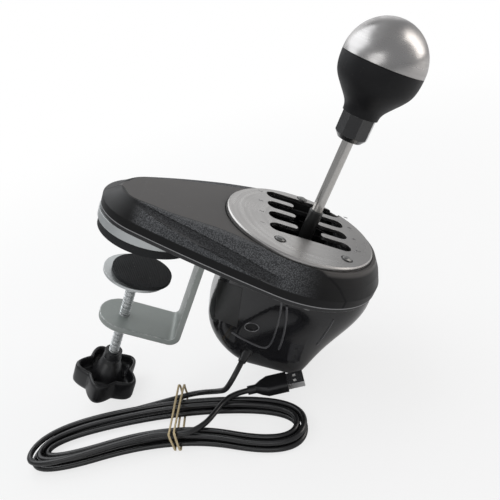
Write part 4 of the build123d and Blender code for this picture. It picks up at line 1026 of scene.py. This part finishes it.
housingSurface = surfaceOf("mechanism_housing")
for ribName, ribLine in housing["ribs"].items():
    makeRidge(ribName, housingSurface, ribLine, housing["ribWidth"], housing["ribHeight"])
makeRidge("housingLine", housingSurface, housing["line"], housing["lineWidth"], housing["lineHeight"])
makeLabel(housingSurface)
print("housing dressed")


# floor and light
studio = {
    "floorSize": 40.0,
    "floorColours": ((0.80, 0.80, 0.80), (0.84, 0.84, 0.84)),
    "floorPatches": 3.0,
    "floorRoughness": 0.95,
    "floorSpecular": 0.05,
    "floorSeen": 0.74,
    "fadeStart": 0.28,    # metres from the part between which the floor turns plain white
    "fadeEnd": 0.9,
    "worldStrength": 0.42,
    "worldColour": (0.97, 0.98, 1.0),
    "lamps": {    # place, the point it faces, size, power, colour
        "windowLamp": ((-0.6, 0.5, 1.1), (0, 0, 0.1), (1.3, 1.1), 9.0, (0.96, 0.98, 1.0)),
        "backLamp": ((0.1, 1.3, 0.7), (0, 0, 0.1), (1.5, 0.7), 2.2, (1, 1, 1)),
        "frontLamp": ((-0.5, -1.1, 0.8), (0, 0, 0.08), (0.9, 0.6), 2.4, (1, 1, 1)),
        "sideLamp": ((1.0, 0.1, 0.5), (0.05, 0, 0.15), (0.5, 0.8), 4.0, (1.0, 0.95, 0.9)),
    },
}


def mixForCamera(tree, lit, seen, end, share=1.0):
    # the camera sees another shader than the one that lights the part
    rays = tree.nodes.new("ShaderNodeLightPath")
    mix = tree.nodes.new("ShaderNodeMixShader")
    mask = addTimes(tree, rays.outputs["Is Camera Ray"], share)
    for socket, source in zip(mix.inputs, (mask, lit.outputs[0], seen.outputs[0])):
        tree.links.new(source, socket)
    tree.links.new(mix.outputs[0], tree.nodes[end].inputs["Surface"])


def makeFloor():
    # for the camera most of the floor's white is its own, and the rest keeps the shadow
    half = studio["floorSize"] / 2
    mesh = bpy.data.meshes.new("floor")
    corners = [(-half, -half, 0), (half, -half, 0), (half, half, 0), (-half, half, 0)]
    mesh.from_pydata(corners, [], [(0, 1, 2, 3)])
    material = bpy.data.materials.new("floorPaper")
    material.use_nodes = True
    tree = material.node_tree
    shader = tree.nodes["Principled BSDF"]
    space = tree.nodes.new("ShaderNodeTexCoord").outputs["Object"]
    tint = addMix(tree, addNoise(tree, space, studio["floorPatches"]), *studio["floorColours"])
    tree.links.new(tint, shader.inputs["Base Color"])
    shader.inputs["Roughness"].default_value = studio["floorRoughness"]
    shader.inputs["Specular IOR Level"].default_value = studio["floorSpecular"]
    glow = tree.nodes.new("ShaderNodeEmission")
    far = addVectorMath(tree, "LENGTH", space)["Value"]
    share = addRange(tree, far, studio["fadeStart"], studio["fadeEnd"], studio["floorSeen"], 1.0, True)
    mixForCamera(tree, shader, glow, "Material Output", share)
    mesh.materials.append(material)
    floor = addObject("floor", mesh)


def makeWorld():
    world = bpy.data.worlds.new("studioWorld")
    scene.world = world
    world.use_nodes = True
    tree = world.node_tree
    lit = tree.nodes["Background"]
    lit.inputs["Color"].default_value = (*studio["worldColour"], 1)
    lit.inputs["Strength"].default_value = studio["worldStrength"]
    seen = tree.nodes.new("ShaderNodeBackground")
    seen.inputs["Color"].default_value = (1, 1, 1, 1)
    seen.inputs["Strength"].default_value = 1.0
    mixForCamera(tree, lit, seen, "World Output")


def addLamp(name, place, aim, size, power, colour):
    data = bpy.data.lights.new(name, "AREA")
    data.shape = "RECTANGLE"
    data.size, data.size_y = size
    data.energy = power
    data.color = colour
    lamp = addObject(name, data)
    lamp.location = place
    lamp.rotation_euler = (Vector(aim) - Vector(place)).to_track_quat("-Z", "Y").to_euler()


makeFloor()
makeWorld()
for lampName, lampSettings in studio["lamps"].items():
    addLamp(lampName, *lampSettings)
scene.view_settings.view_transform = "Standard"
print("floor and light set")
